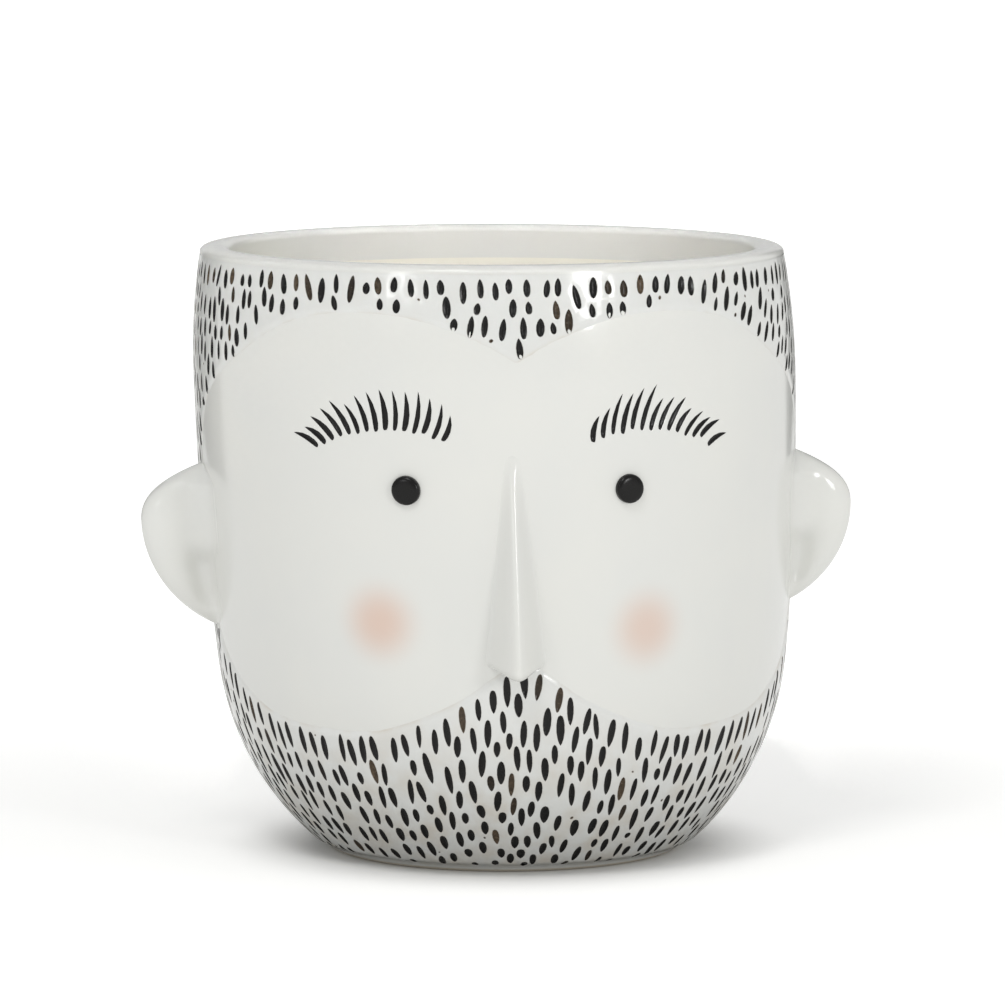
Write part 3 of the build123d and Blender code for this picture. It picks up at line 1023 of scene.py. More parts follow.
# Kinds of node, and the sockets of a colour mix by number, as its names are not unique
PLACE, NOISE, ATTRIBUTE = "ShaderNodeTexCoord", "ShaderNodeTexNoise", "ShaderNodeAttribute"
MATH, VECTOR_MATH, MAP_RANGE = "ShaderNodeMath", "ShaderNodeVectorMath", "ShaderNodeMapRange"
MIX, BUMP, SHADER = "ShaderNodeMix", "ShaderNodeBump", "ShaderNodeBsdfPrincipled"
MIX_SHARE, MIX_FIRST, MIX_SECOND, MIX_RESULT = 0, 6, 7, 2

# Glaze figures: refraction of a feldspar glaze, gloss of a fired surface, its waves and fine pitting
GLAZE_IOR = 1.52
GLAZE_ROUGHNESS = (0.10, 0.20)
GLAZE_WAVE = 9.0 * MM
GLAZE_PIT = 0.9 * MM
GLAZE_WAVE_HEIGHT = 0.05 * MM
GLAZE_WAVE_SHARE = 0.5
GLAZE_MOTTLE = 24.0 * MM
MOTTLE_SHARE = 0.3
FINE_DETAIL, DETAIL, ROUGH_DETAIL = 2.0, 3.0, 4.0

# Wash and stain: size of their patches and grain, and between which noise values a patch fades in
WASH_PATCH = 7.0 * MM
WASH_PATCH_RANGE = (0.42, 0.72)
STAIN_GRAIN = 0.8 * MM

# Black glaze: duller than the white, as it is brushed on thin
BLACK_IOR = 1.42
BLACK_ROUGHNESS = (0.16, 0.34)
BLACK_SPECULAR = 0.4

# Blush on each cheek: angle round the pot, height and strength
BLUSHES = ((radians(-27.7), 63.9 * MM, 0.72), (radians(25.2), 62.1 * MM, 0.62))
BLUSH_RADIUS = 13.5 * MM

# Bare clay and moulded rubber: roughness, grain and how high the grain stands
CLAY_ROUGHNESS = 0.85
CLAY_GRAIN = 0.6 * MM
CLAY_GRAIN_HEIGHT = 0.08 * MM
RUBBER_IOR = 1.5
RUBBER_ROUGHNESS = 0.55
RUBBER_GRAIN = 0.5 * MM
RUBBER_GRAIN_HEIGHT = 0.05 * MM
RUBBER_DARK_SHARE = 0.25


def mottled(tree, place, first, second):
    """Colour that drifts slowly from a first towards a second, as a glaze of uneven thickness does."""
    noise = add_node(tree, NOISE, {"Scale": 1 / GLAZE_MOTTLE, "Detail": DETAIL}, {"Vector": place})
    shade = add_node(tree, MAP_RANGE, {"To Min": 0.0, "To Max": MOTTLE_SHARE},
                     {"Value": noise.outputs["Fac"]})
    mix = add_node(tree, MIX, {"data_type": "RGBA", MIX_FIRST: first, MIX_SECOND: second},
                   {MIX_SHARE: shade.outputs["Result"]})
    return mix.outputs[MIX_RESULT]


def glaze_surface(tree, output, place, base):
    """Gloss shared by the light glazes: slow waves in the surface and a little uneven roughness."""
    waves = add_node(tree, NOISE, {"Scale": 1 / GLAZE_WAVE, "Detail": FINE_DETAIL}, {"Vector": place})
    pits = add_node(tree, NOISE, {"Scale": 1 / GLAZE_PIT, "Detail": FINE_DETAIL}, {"Vector": place})
    gloss = add_node(tree, MAP_RANGE, {"To Min": GLAZE_ROUGHNESS[0], "To Max": GLAZE_ROUGHNESS[1]},
                     {"Value": pits.outputs["Fac"]})
    bump = add_node(tree, BUMP, {"Distance": GLAZE_WAVE_HEIGHT, "Strength": GLAZE_WAVE_SHARE},
                    {"Height": waves.outputs["Fac"]})
    shader = add_node(tree, SHADER, {"IOR": GLAZE_IOR},
                      {"Base Color": base, "Roughness": gloss.outputs["Result"],
                       "Normal": bump.outputs["Normal"]})
    tree.links.new(shader.outputs["BSDF"], output.inputs["Surface"])


def face_glaze(colours):
    """Glossy white glaze over white earthenware, sprayed: even, with a pink blush under it on each cheek."""
    material, tree, output = new_material("White tin glaze, blushed")
    place = add_node(tree, PLACE).outputs["Object"]
    base = mottled(tree, place, colours.white, colours.cream_painted_lighter)
    for angle, z, strength in BLUSHES:
        radius = float(outside(z)[0])
        centre = leaned([(radius * sin(angle), -radius * cos(angle), z)])[0]
        gap = add_node(tree, VECTOR_MATH, {"operation": "DISTANCE", 1: centre}, {0: place})
        spot = add_node(tree, MAP_RANGE,
                        {"interpolation_type": "SMOOTHERSTEP", "From Min": 0.0, "From Max": BLUSH_RADIUS,
                         "To Min": strength, "To Max": 0.0}, {"Value": gap.outputs["Value"]})
        mix = add_node(tree, MIX, {"data_type": "RGBA", MIX_SECOND: colours.blush},
                       {MIX_SHARE: spot.outputs["Result"], MIX_FIRST: base})
        base = mix.outputs[MIX_RESULT]
    glaze_surface(tree, output, place, base)
    return material


def carved_glaze(colours):
    """Glossy white glaze rubbed with brown oxide: white ground, brown by each stroke, a thin patchy wash."""
    material, tree, output = new_material("White tin glaze, oxide washed")
    place = add_node(tree, PLACE).outputs["Object"]
    noise = add_node(tree, NOISE, {"Scale": 1 / WASH_PATCH, "Detail": DETAIL}, {"Vector": place})
    patch = add_node(tree, MAP_RANGE, {"From Min": WASH_PATCH_RANGE[0], "From Max": WASH_PATCH_RANGE[1]},
                     {"Value": noise.outputs["Fac"]})
    washed = add_node(tree, ATTRIBUTE, {"attribute_name": "wash"}).outputs["Fac"]
    share = add_node(tree, MATH, {"operation": "MULTIPLY"}, {0: patch.outputs["Result"], 1: washed})
    wash = add_node(tree, MIX, {"data_type": "RGBA", MIX_FIRST: colours.white, MIX_SECOND: colours.wash},
                    {MIX_SHARE: share.outputs["Value"]})
    grain = add_node(tree, NOISE, {"Scale": 1 / STAIN_GRAIN, "Detail": FINE_DETAIL}, {"Vector": place})
    stained = add_node(tree, ATTRIBUTE, {"attribute_name": "stain"}).outputs["Fac"]
    share = add_node(tree, MATH, {"operation": "MULTIPLY"}, {0: grain.outputs["Fac"], 1: stained})
    stain = add_node(tree, MIX, {"data_type": "RGBA", MIX_SECOND: colours.stain},
                     {MIX_SHARE: share.outputs["Value"], MIX_FIRST: wash.outputs[MIX_RESULT]})
    glaze_surface(tree, output, place, stain.outputs[MIX_RESULT])
    return material


def plain_glaze(name, first, second):
    """Glossy glaze of one tone with slow mottling, as it lies on nose and ears and pools inside the pot."""
    material, tree, output = new_material(name)
    place = add_node(tree, PLACE).outputs["Object"]
    glaze_surface(tree, output, place, mottled(tree, place, first, second))
    return material


def black_glaze(colours):
    """Iron black glaze, brushed into the strokes: deep black, browner where it is thin."""
    material, tree, output = new_material("Iron black glaze")
    place = add_node(tree, PLACE).outputs["Object"]
    grain = add_node(tree, NOISE, {"Scale": 1 / STAIN_GRAIN, "Detail": DETAIL},
                     {"Vector": place}).outputs["Fac"]
    thin = add_node(tree, ATTRIBUTE, {"attribute_name": "fade"}).outputs["Fac"]
    share = add_node(tree, MATH, {"operation": "MULTIPLY"}, {0: grain, 1: thin})
    mix = add_node(tree, MIX, {"data_type": "RGBA", MIX_FIRST: colours.black, MIX_SECOND: colours.stain},
                   {MIX_SHARE: share.outputs["Value"]})
    gloss = add_node(tree, MAP_RANGE, {"To Min": BLACK_ROUGHNESS[0], "To Max": BLACK_ROUGHNESS[1]},
                     {"Value": grain})
    shader = add_node(tree, SHADER, {"IOR": BLACK_IOR, "Specular IOR Level": BLACK_SPECULAR},
                      {"Base Color": mix.outputs[MIX_RESULT], "Roughness": gloss.outputs["Result"]})
    tree.links.new(shader.outputs["BSDF"], output.inputs["Surface"])
    return material


def bare_clay(colours):
    """Unglazed fired earthenware, wiped clean: matt, faintly gritty and off-white."""
    material, tree, output = new_material("Bare earthenware")
    place = add_node(tree, PLACE).outputs["Object"]
    grain = add_node(tree, NOISE, {"Scale": 1 / CLAY_GRAIN, "Detail": ROUGH_DETAIL},
                     {"Vector": place}).outputs["Fac"]
    mix = add_node(tree, MIX, {"data_type": "RGBA", MIX_FIRST: colours.clay, MIX_SECOND: colours.wash},
                   {MIX_SHARE: grain})
    bump = add_node(tree, BUMP, {"Distance": CLAY_GRAIN_HEIGHT}, {"Height": grain})
    shader = add_node(tree, SHADER, {"Roughness": CLAY_ROUGHNESS},
                      {"Base Color": mix.outputs[MIX_RESULT], "Normal": bump.outputs["Normal"]})
    tree.links.new(shader.outputs["BSDF"], output.inputs["Surface"])
    return material


def plug_rubber(colours):
    """Compression-moulded rubber: dark, satin, with a fine spark-eroded grain from the mould."""
    material, tree, output = new_material("Moulded rubber")
    place = add_node(tree, PLACE).outputs["Object"]
    grain = add_node(tree, NOISE, {"Scale": 1 / RUBBER_GRAIN, "Detail": DETAIL},
                     {"Vector": place}).outputs["Fac"]
    tone = add_node(tree, MAP_RANGE, {"To Min": 0.0, "To Max": RUBBER_DARK_SHARE}, {"Value": grain})
    mix = add_node(tree, MIX, {"data_type": "RGBA", MIX_FIRST: colours.rubber, MIX_SECOND: colours.black},
                   {MIX_SHARE: tone.outputs["Result"]})
    bump = add_node(tree, BUMP, {"Distance": RUBBER_GRAIN_HEIGHT}, {"Height": grain})
    shader = add_node(tree, SHADER, {"Roughness": RUBBER_ROUGHNESS, "IOR": RUBBER_IOR},
                      {"Base Color": mix.outputs[MIX_RESULT], "Normal": bump.outputs["Normal"]})
    tree.links.new(shader.outputs["BSDF"], output.inputs["Surface"])
    return material


def pad(values, count):
    """Values with zeros added up to a count."""
    return np.concatenate((values, np.zeros(count - len(values))))


def wash_share(places):
    """How strongly the wash colour shows at unrolled places: a little everywhere, more in the step round the
    face, and more towards the foot, so the ground is darker towards the bottom.
    """
    around, run = places.T
    gap = clearance(around, run)
    low = 1 - smoothstep((rise_at(run) - DARKENING_LOW_Z) / DARKENING_RISE)
    step = np.exp(-((gap - WASH_STEP) / WASH_STEP_WIDTH) ** 2)
    return np.clip(WASH_EVERYWHERE + FOOT_DARKENING * low + WASH_STEP_SHARE * step, 0, 1)


def in_layer(sheet, triangles, above):
    """Which triangles belong to the hair, above the parting, or to the beard, below it."""
    corners = np.array(sheet.places)[triangles]
    wide = np.ptp(corners[:, :, 0], axis=1) > HALF_TURN
    corners[wide, :, 0] = np.abs(corners[wide, :, 0])
    around, run = corners.mean(axis=1).T
    return ~in_face(around, run) & ((run > PARTING_RUN) == above)


class PLANTER_OT_hair_and_beard(bpy.types.Operator):
    """Carve hair and beard as two closed layers with black strokes in them."""

    bl_idname = "head_planter.hair_and_beard"
    bl_label = "Hair and beard"

    def execute(self, context):
        """Lay the strokes, mesh both layers in one sheet and part it at the ears."""
        sizes = context.scene.head_planter_sizes
        colours = context.scene.head_planter_colours
        field = lay_strokes(sizes, context.scene.head_planter_stage.seed)
        front, back = Sheet(), Sheet()
        sides, seam_mark = layer_border(front)
        layer_border(back)
        border = len(front.places)
        for stroke in field.strokes:
            front.add_stroke(stroke)
        edge_rows(front, field, EDGE_ROW_DISTANCES)
        fill(front, field, FILL_SPACING, *LAYER_RUNS, FILL_KEEP_OFF)
        fill(back, StrokeField(), BACK_SPACING, *LAYER_RUNS, BACK_SPACING * BACK_KEEP_SHARE)
        points, normals = sheet_arrays(front, layer_level, sizes)
        inside = on_outside(*np.array(back.places).T, BACK_LEVEL)
        points, normals = np.vstack((points, inside[0])), np.vstack((normals, -inside[1]))
        # The back shares the border's points with the front, but not along the seam inside the layer
        own = np.arange(len(front.places), len(points))
        own[:border] = np.arange(border)
        for numbers in sides:
            for place, number in enumerate(numbers):
                if place not in (0, seam_mark, len(numbers) - 1):
                    own[number] = len(front.places) + number
        seam = list(zip(*sides))
        front_faces = welded(front.triangulate(), seam)
        back_faces = welded(back.triangulate(), seam)
        materials = [carved_glaze(colours), black_glaze(colours)]
        tints = {"stain": pad(front.stains, len(points)), "fade": pad(front.fades, len(points)),
                 "wash": pad(wash_share(np.array(front.places)), len(points))}
        kinds = np.array(front.kinds)
        for node, above in (("hair", True), ("beard", False)):
            mine = front_faces[in_layer(front, front_faces, above)]
            behind = own[back_faces[in_layer(back, back_faces, above)]][:, ::-1]
            black = (kinds[mine].min(axis=1) >= EDGE_KIND).astype(int)
            faces, used_points, used_normals, *used_tints = compact(
                np.vstack((mine, behind)), points, normals, *tints.values())
            piece = add_piece(f"{node}_glazed", used_points, faces, materials,
                              np.concatenate((black, np.zeros(len(behind), int))), used_normals,
                              dict(zip(tints, used_tints)))
            stand_for(piece, node, "pot")
        return {"FINISHED"}


def thick_piece(name, faces, top, outward, material):
    """Closed piece from an open sheet: a raised top, a sunk bottom and sides between them."""
    edges = {edge: None for face in faces for edge in zip(face, np.roll(face, -1))}
    rim = [edge for edge in edges if edge[::-1] not in edges]
    count = len(top)
    points = np.vstack((top + outward * BROW_LIFT, top - outward * BROW_BACK))
    sides = [(start, start + count, end + count, end) for start, end in rim]
    all_faces = [tuple(face) for face in faces] + [tuple(face[::-1] + count) for face in faces] + sides
    return add_piece(f"{name}_glazed", points, all_faces, [material])


def turned_inside(sizes, first, rows):
    """Rim, inside, floor, drain hole and foot, turned between the outside's top and bottom rows."""
    corners = rim_to_foot(sizes)
    profile = np.array([corner[:2] for corner in corners])
    finish_of = [corner[2] for corner in corners]
    along = np.gradient(profile, axis=0)
    along /= np.hypot(*along.T)[:, None]
    angles = np.linspace(-pi, pi, SEGMENTS + 1)[:-1]
    rings = profile[1:-1]
    points, normals = [], []
    for (radius, z), (dr, dz) in zip(rings, along[1:-1]):
        for angle in angles:
            points.append((radius * sin(angle), -radius * cos(angle), z))
            normals.append((dz * sin(angle), -dz * cos(angle), -dr))
    top, bottom = rows[1][:-1], rows[0][:-1]
    numbers = [top] + [[first + ring * SEGMENTS + place for place in range(SEGMENTS)]
                       for ring in range(len(rings))] + [bottom]
    quads, finish = [], []
    for ring, (upper, lower) in enumerate(zip(numbers, numbers[1:])):
        for place in range(SEGMENTS):
            beside = (place + 1) % SEGMENTS
            quads.append((upper[place], upper[beside], lower[beside], lower[place]))
            finish.append(finish_of[ring])
    return np.array(points), np.array(normals), quads, np.array(finish)


def rim_to_foot(sizes):
    """Profile from the top of the outside over rim and inside to the foot, with each point's finish."""
    radius, outward, upward = (float(value) for value in outside(SKIN_HIGH_Z))
    start = (radius + outward * sizes.layer_level, SKIN_HIGH_Z + upward * sizes.layer_level)
    middle, half = (start[0] + MOUTH_RADIUS) / 2, (start[0] - MOUTH_RADIUS) / 2
    rise = HEIGHT - start[1]
    profile = []
    for number in range(LIP_STEPS + 1):
        turn = pi * number / LIP_STEPS
        across = abs(cos(turn)) ** (2 / LIP_SQUARENESS) * (1 if turn < pi / 2 else -1)
        profile.append((middle + half * across, start[1] + rise * sin(turn) ** (2 / LIP_SQUARENESS),
                        FACE_FINISH))
    inner_arc = MOUTH_RADIUS - BOWL_CENTRE[0]
    for number in range(1, WALL_STEPS):
        profile.append((MOUTH_RADIUS, start[1] + (BOWL_CENTRE[1] - start[1]) * number / WALL_STEPS,
                        CREAM_FINISH))
    corner = BOWL_CENTRE[0] + sqrt(inner_arc**2 - (BOWL_CENTRE[1] - FLOOR_Z) ** 2)
    low_turn = atan2(BOWL_CENTRE[1] - FLOOR_Z, corner - BOWL_CENTRE[0]) - FLOOR_FILLET / inner_arc
    for number in range(WALL_STEPS + 1):
        turn = low_turn * number / WALL_STEPS
        profile.append((BOWL_CENTRE[0] + inner_arc * cos(turn), BOWL_CENTRE[1] - inner_arc * sin(turn),
                        CREAM_FINISH))
    corners = ((corner, FLOOR_Z, FLOOR_FILLET, CREAM_FINISH),
               (DRAIN_RADIUS, FLOOR_Z, SMALL_EDGE, CREAM_FINISH),
               (DRAIN_RADIUS, RECESS_Z, SMALL_EDGE, CLAY_FINISH),
               (RECESS_RADIUS, RECESS_Z, SMALL_EDGE, CLAY_FINISH),
               (RECESS_RADIUS, 0.0, SMALL_EDGE, CLAY_FINISH),
               (FOOT_RADIUS, 0.0, SMALL_EDGE, CLAY_FINISH))
    foot = (float(outside(SKIN_LOW_Z)[0]), SKIN_LOW_Z)
    path = [profile[-1][:2], *[item[:2] for item in corners], foot]
    for (before, at, after), (_, _, fillet, finish) in zip(zip(path, path[1:], path[2:]), corners):
        before, at, after = Vector(before), Vector(at), Vector(after)
        reach = min(fillet, (before - at).length * FILLET_ROOM, (after - at).length * FILLET_ROOM)
        enter, leave = at + (before - at).normalized() * reach, at + (after - at).normalized() * reach
        for number in range(FILLET_STEPS + 1):
            share = number / FILLET_STEPS
            point = enter * (1 - share) ** 2 + at * (2 * share * (1 - share)) + leave * share**2
            profile.append((*point, finish))
    profile.append((*foot, CLAY_FINISH))
    return profile


class PLANTER_OT_pot(bpy.types.Operator):
    """Make the glazed pot with its face, rim, inside and foot, and the black strokes of the brows."""

    bl_idname = "head_planter.pot"
    bl_label = "Pot and brows"

    def execute(self, context):
        """Mesh the outside with the brows carved in, turn the rest on the axis, and fill the brows."""
        sizes = context.scene.head_planter_sizes
        colours = context.scene.head_planter_colours
        chance = random.Random(context.scene.head_planter_stage.seed)
        field = StrokeField()
        sheet = Sheet()
        sides, rows = sheet_border(sheet, *SKIN_RUNS, ())
        spans = {}
        for node, *fan in BROWS:
            start = len(sheet.places)
            for stroke in lay_brow(field, chance, *fan):
                sheet.add_stroke(stroke)
            spans[node] = (start, len(sheet.places))
        fill(sheet, field, SKIN_SPACING, *SKIN_RUNS, FILL_KEEP_OFF)
        points, normals = sheet_arrays(sheet, shell_level, sizes)
        triangles = welded(sheet.triangulate(), list(zip(*sides)))
        carved = np.array(sheet.kinds)[triangles].min(axis=1) >= EDGE_KIND
        black = black_glaze(colours)
        # The inside's cream glaze is painted lighter than the outside's white: painted light
        finishes = [face_glaze(colours), plain_glaze("Cream tin glaze, painted lighter", colours.cream_painted_lighter, colours.white),
                    bare_clay(colours)]
        for node, (start, end) in spans.items():
            mine = triangles[carved & (triangles.min(axis=1) >= start) & (triangles.max(axis=1) < end)]
            faces, top, outward = compact(mine, points, normals)
            stand_for(thick_piece(node, faces, top, outward, black), node, "pot")
        turned, turned_normals, quads, finish = turned_inside(sizes, len(points), rows)
        finish = np.concatenate((np.full(len(triangles), FACE_FINISH), finish))
        faces = [tuple(numbers) for numbers in triangles] + quads
        used = np.unique(np.concatenate((triangles.ravel(), np.array(quads).ravel())))
        place = np.zeros(len(points) + len(turned), int)
        place[used] = np.arange(len(used))
        faces = [tuple(place[number] for number in numbers) for numbers in faces]
        piece = add_piece("pot_glazed", np.vstack((points, turned))[used], faces, finishes, finish,
                          np.vstack((normals, turned_normals))[used])
        stand_for(piece, "pot_shell", "pot")
        return {"FINISHED"}


def nose_section(sizes, z, half, reach, tilt):
    """Closed loop across the nose at a height: rounded ridge, flanks flared into the face, buried back."""
    outline = []
    for number in range(NOSE_STEPS + 1):
        share = sin(pi / 2 * (2 * number / NOSE_STEPS - 1))
        slack = sqrt(1 + NOSE_RIDGE**2) - NOSE_RIDGE
        fall = (sqrt(share**2 + NOSE_RIDGE**2) - NOSE_RIDGE) / slack
        outline.append((half * share, reach * (1 - fall) ** NOSE_FLANK - TUCK))
    outline += [(half, -NOSE_BURIED), (-half, -NOSE_BURIED)]
    radius = float(outside(z)[0])
    loop = []
    for across, proud in outline:
        run = run_at(z - max(0.0, proud) * sin(tilt))
        foot = on_outside((NOSE_SIDE + across) * UNROLL_RADIUS / radius, run, face_level(sizes, z))[0]
        loop.append(foot + on_outside(NOSE_SIDE, run, 0.0)[1] * proud)
    return loop


class PLANTER_OT_nose(bpy.types.Operator):
    """Make the nose as one ridge that flares into the face."""

    bl_idname = "head_planter.nose"
    bl_label = "Nose"

    def execute(self, context):
        """Loft loops from the bridge down to the rounded edge, then across the underside."""
        sizes = context.scene.head_planter_sizes
        colours = context.scene.head_planter_colours
        half, bridge = sizes.nose_width / 2, BRIDGE_WIDTH / 2
        loops = []
        low_z = NOSE_BOTTOM_Z + NOSE_EDGE
        for number in range(NOSE_SECTIONS + 1):
            share = number / NOSE_SECTIONS
            loops.append(nose_section(sizes, NOSE_TOP_Z + (low_z - NOSE_TOP_Z) * share,
                                      bridge + (half - bridge) * share,
                                      sizes.nose_reach * share**NOSE_RISE_POWER, NOSE_TILT * share))
        for number in range(1, NOSE_EDGE_STEPS + 1):
            turn = pi / 2 * number / NOSE_EDGE_STEPS
            inset = NOSE_EDGE * (1 - cos(turn))
            loops.append(nose_section(sizes, low_z - NOSE_EDGE * sin(turn), half - inset,
                                      sizes.nose_reach - inset, NOSE_TILT))
        for share in NOSE_UNDER_SHARES:
            loops.append(nose_section(sizes, NOSE_BOTTOM_Z, (half - NOSE_EDGE) * share,
                                      (sizes.nose_reach - NOSE_EDGE) * share, NOSE_TILT))
        glaze = plain_glaze("White tin glaze", colours.white, colours.cream_painted_lighter)
        stand_for(tube_piece("nose_glazed", loops, glaze), "nose", "pot")
        return {"FINISHED"}


def fillet_rise(out, radius):
    """How far a fillet of a radius lifts a face at a distance out from the wall that it runs into."""
    return radius - sqrt(radius**2 - (radius - out) ** 2) if out < radius else 0.0


def ear_section(thickness, reach, height, share):
    """Closed loop through an ear at a share of its height: pillowed front, hollow, rim and plain back."""
    run = (1 - EAR_WIDEST_SHARE if share > EAR_WIDEST_SHARE else EAR_WIDEST_SHARE) * height
    off_widest = abs(share - EAR_WIDEST_SHARE) * height
    arc = tangent_arc(run, reach)
    width = reach - arc + sqrt(max(0.0, arc**2 - off_widest**2))
    if share > EAR_WIDEST_SHARE:
        width = reach * (1 - (off_widest / run) ** EAR_TOP_POWER)
    width = max(width, TUCK)
    thick = thickness / 2 * sqrt(max(TINY, 1 - (off_widest / run) ** EAR_END_POWER))
    below = float(smoothstep((EAR_CREASE_SHARE - share) / EAR_CREASE_RUN))
    hollow = EAR_HOLLOW * below * float(smoothstep(share / EAR_LOBE_RUN))
    front_fillet = EAR_UPPER_FILLET + (EAR_LOWER_FILLET - EAR_UPPER_FILLET) * below
    loop = []
    for side, fillet in ((1, front_fillet), (-1, EAR_BACK_FILLET)):
        fillet = min(fillet, width * EAR_FILLET_SHARE)
        half = []
        for number in range(EAR_STEPS + 1):
            across = (1 - cos(pi * number / EAR_STEPS)) / 2
            proud = thick * sqrt(1 - across**EAR_PILLOW) + fillet_rise(width * across, fillet)
            if side > 0:
                dip = float(np.exp(-((across - EAR_HOLLOW_PLACE) / EAR_HOLLOW_WIDTH) ** 2))
                proud -= hollow * dip * (1 - across)
            half.append((width * across, side * proud))
        half.insert(0, (-EAR_BURIED, half[0][1] + side * EAR_BURIED))
        loop += half if side > 0 else half[::-1][1:]
    return loop


class PLANTER_OT_ears(bpy.types.Operator):
    """Make both ears, each with its own reach, height and place."""

    bl_idname = "head_planter.ears"
    bl_label = "Ears"

    def execute(self, context):
        """Loft sections from lobe to top, closer together towards both ends."""
        sizes = context.scene.head_planter_sizes
        colours = context.scene.head_planter_colours
        glaze = plain_glaze("White tin glaze, pooled", colours.white, colours.cream_painted_lighter)
        for node, side, reach, height in (("left_ear", 1, sizes.left_ear_reach, sizes.left_ear_height),
                                          ("right_ear", -1, sizes.right_ear_reach, sizes.right_ear_height)):
            loops = []
            for turn in np.linspace(-EAR_TURN, EAR_TURN, 2 * EAR_SECTIONS + 1):
                room = 1 - EAR_WIDEST_SHARE if turn > 0 else EAR_WIDEST_SHARE
                share = EAR_WIDEST_SHARE + sin(turn) * room
                z = HEIGHT * EAR_BOTTOM_SHARES[node] + height * share
                base = float(outside(z)[0] + face_level(sizes, z))
                loop = []
                for out, ahead in ear_section(sizes.ear_thickness, reach, height, share):
                    angle = EAR_ANGLE - ahead / base
                    loop.append((side * (base + out) * sin(angle), -(base + out) * cos(angle), z))
                loops.append(loop)
            stand_for(tube_piece(f"{node}_glazed", loops, glaze), node, "pot")
        return {"FINISHED"}


class PLANTER_OT_eyes(bpy.types.Operator):
    """Make both eyes as black buttons with a soft shoulder."""

    bl_idname = "head_planter.eyes"
    bl_label = "Eyes"

    def execute(self, context):
        """Turn a button's profile round the face's outward direction at each eye."""
        sizes = context.scene.head_planter_sizes
        glaze = black_glaze(context.scene.head_planter_colours)
        for node, side in (("left_eye", 1), ("right_eye", -1)):
            place = on_outside(side * EYE_ANGLE * UNROLL_RADIUS, run_at(EYE_Z), face_level(sizes, EYE_Z))
            foot, outward = Vector(place[0]), Vector(place[1])
            turned = outward.to_track_quat("Z", "Y").to_matrix()
            profile = [(sizes.eye_radius, -EYE_SUNK)]
            for number in range(EYE_RINGS):
                turn = pi / 2 * number / EYE_RINGS
                profile.append((sizes.eye_radius * cos(turn) ** (2 / EYE_SHOULDER),
                                sizes.eye_height * sin(turn) ** (2 / EYE_SHOULDER)))
            loops = []
            for radius, proud in profile:
                loops.append([foot + turned @ Vector((radius * cos(2 * pi * number / EYE_POINTS),
                                                      radius * sin(2 * pi * number / EYE_POINTS), proud))
                              for number in range(EYE_POINTS)])
            stand_for(tube_piece(f"{node}_glazed", loops, glaze), node, "pot")
        return {"FINISHED"}


class PLANTER_OT_plug(bpy.types.Operator):
    """Give the drain plug its rubber."""

    bl_idname = "head_planter.plug"
    bl_label = "Drain plug"

    def execute(self, context):
        """The plug keeps its own shape and takes a new material."""
        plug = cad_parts["drain_plug"]
        plug.data.materials.clear()
        plug.data.materials.append(plug_rubber(context.scene.head_planter_colours))
        return {"FINISHED"}


# Stage: a floor that glows except under the pot and is seen only by the camera, its glow left out round the
# pot as a painted contact shadow and painted shade; a sheet under it that throws light back on the pot and
# glows as painted light, its glow left out by the foot as painted shade on the pot's lower part; dark cards
# beside the picture that draw the pot's edges; and soft lights. A glow has rings, each with its inner and
# outer radius and how much it adds
WHITE = (1.0, 1.0, 1.0, 1.0)
POT_MIDDLE = (0.0, 0.0, 0.075)
INSIDE_BACK = (0.0, 0.075, 0.145)
FLOOR_REACH = 14.0
# The floor's glow is none by the foot and rises to full by 74 mm and again by 0.42 m, so the floor is darker
# round the pot: painted contact shadow and painted shade
FLOOR_GLOW_PAINTED_SHADOW = ((40.0 * MM, 74.0 * MM, 0.37), (0.12, 0.42, 0.30))
# The sheet under the floor glows unseen by the camera: painted light thrown on the pot; its glow is left out
# within 44 mm and full by 130 mm, painted shade on the pot's lower part
BOUNCE_GLOW_PAINTED_SHADE = ((44.0 * MM, 130.0 * MM, 0.62),)
BOUNCE_DROP = 1.0 * MM
CARD_HEIGHT = 0.55
CARD_LIFT = 1.0 * MM
WORLD_STRENGTH = 0.57
OPEN_FAN, GRID_FAN = radians(180.0), radians(6.0)

# Cards: name, place aside, and near and far end. Lights: name, place, width, watts, aim and fan of the beam
CARDS = (("card_left", -0.42, 0.30, 1.25), ("card_right", 0.42, 0.50, 1.25))
LIGHTS = (
    ("key_softbox", (-0.50, -1.10, 1.60), 0.50, 7.0, POT_MIDDLE, OPEN_FAN),
    ("fill_softbox", (0.95, -1.45, 0.50), 0.32, 5.0, POT_MIDDLE, OPEN_FAN),
    ("left_softbox", (-1.05, -1.25, 0.50), 0.18, 1.1, POT_MIDDLE, OPEN_FAN),
    ("mouth_gridbox", (-0.10, -0.75, 0.95), 0.16, 0.032, INSIDE_BACK, GRID_FAN),
)


def matt(name, tone, rings=()):
    """Matt material of the stage, with a glow that rises ring by ring away from the pot, leaving it darker
    near the pot: painted shadow.
    """
    material, tree, output = new_material(name)
    shader = add_node(tree, SHADER, {"Base Color": tone, "Roughness": 1.0, "Specular IOR Level": 0.0,
                                     "Emission Color": WHITE, "Emission Strength": 0.0})
    tree.links.new(shader.outputs["BSDF"], output.inputs["Surface"])
    total = None
    # Inside each ring's inner radius the glow is left out: painted shadow round the pot
    for near, far, glow in rings:
        place = add_node(tree, PLACE).outputs["Object"]
        off = add_node(tree, VECTOR_MATH, {"operation": "LENGTH"}, {0: place})
        step = add_node(tree, MAP_RANGE,
                        {"interpolation_type": "SMOOTHSTEP", "From Min": near, "From Max": far,
                         "To Min": 0.0, "To Max": glow}, {"Value": off.outputs["Value"]}).outputs["Result"]
        if total is not None:
            step = add_node(tree, MATH, {"operation": "ADD"}, {0: total, 1: step}).outputs["Value"]
        total = step
        tree.links.new(total, shader.inputs["Emission Strength"])
    return material


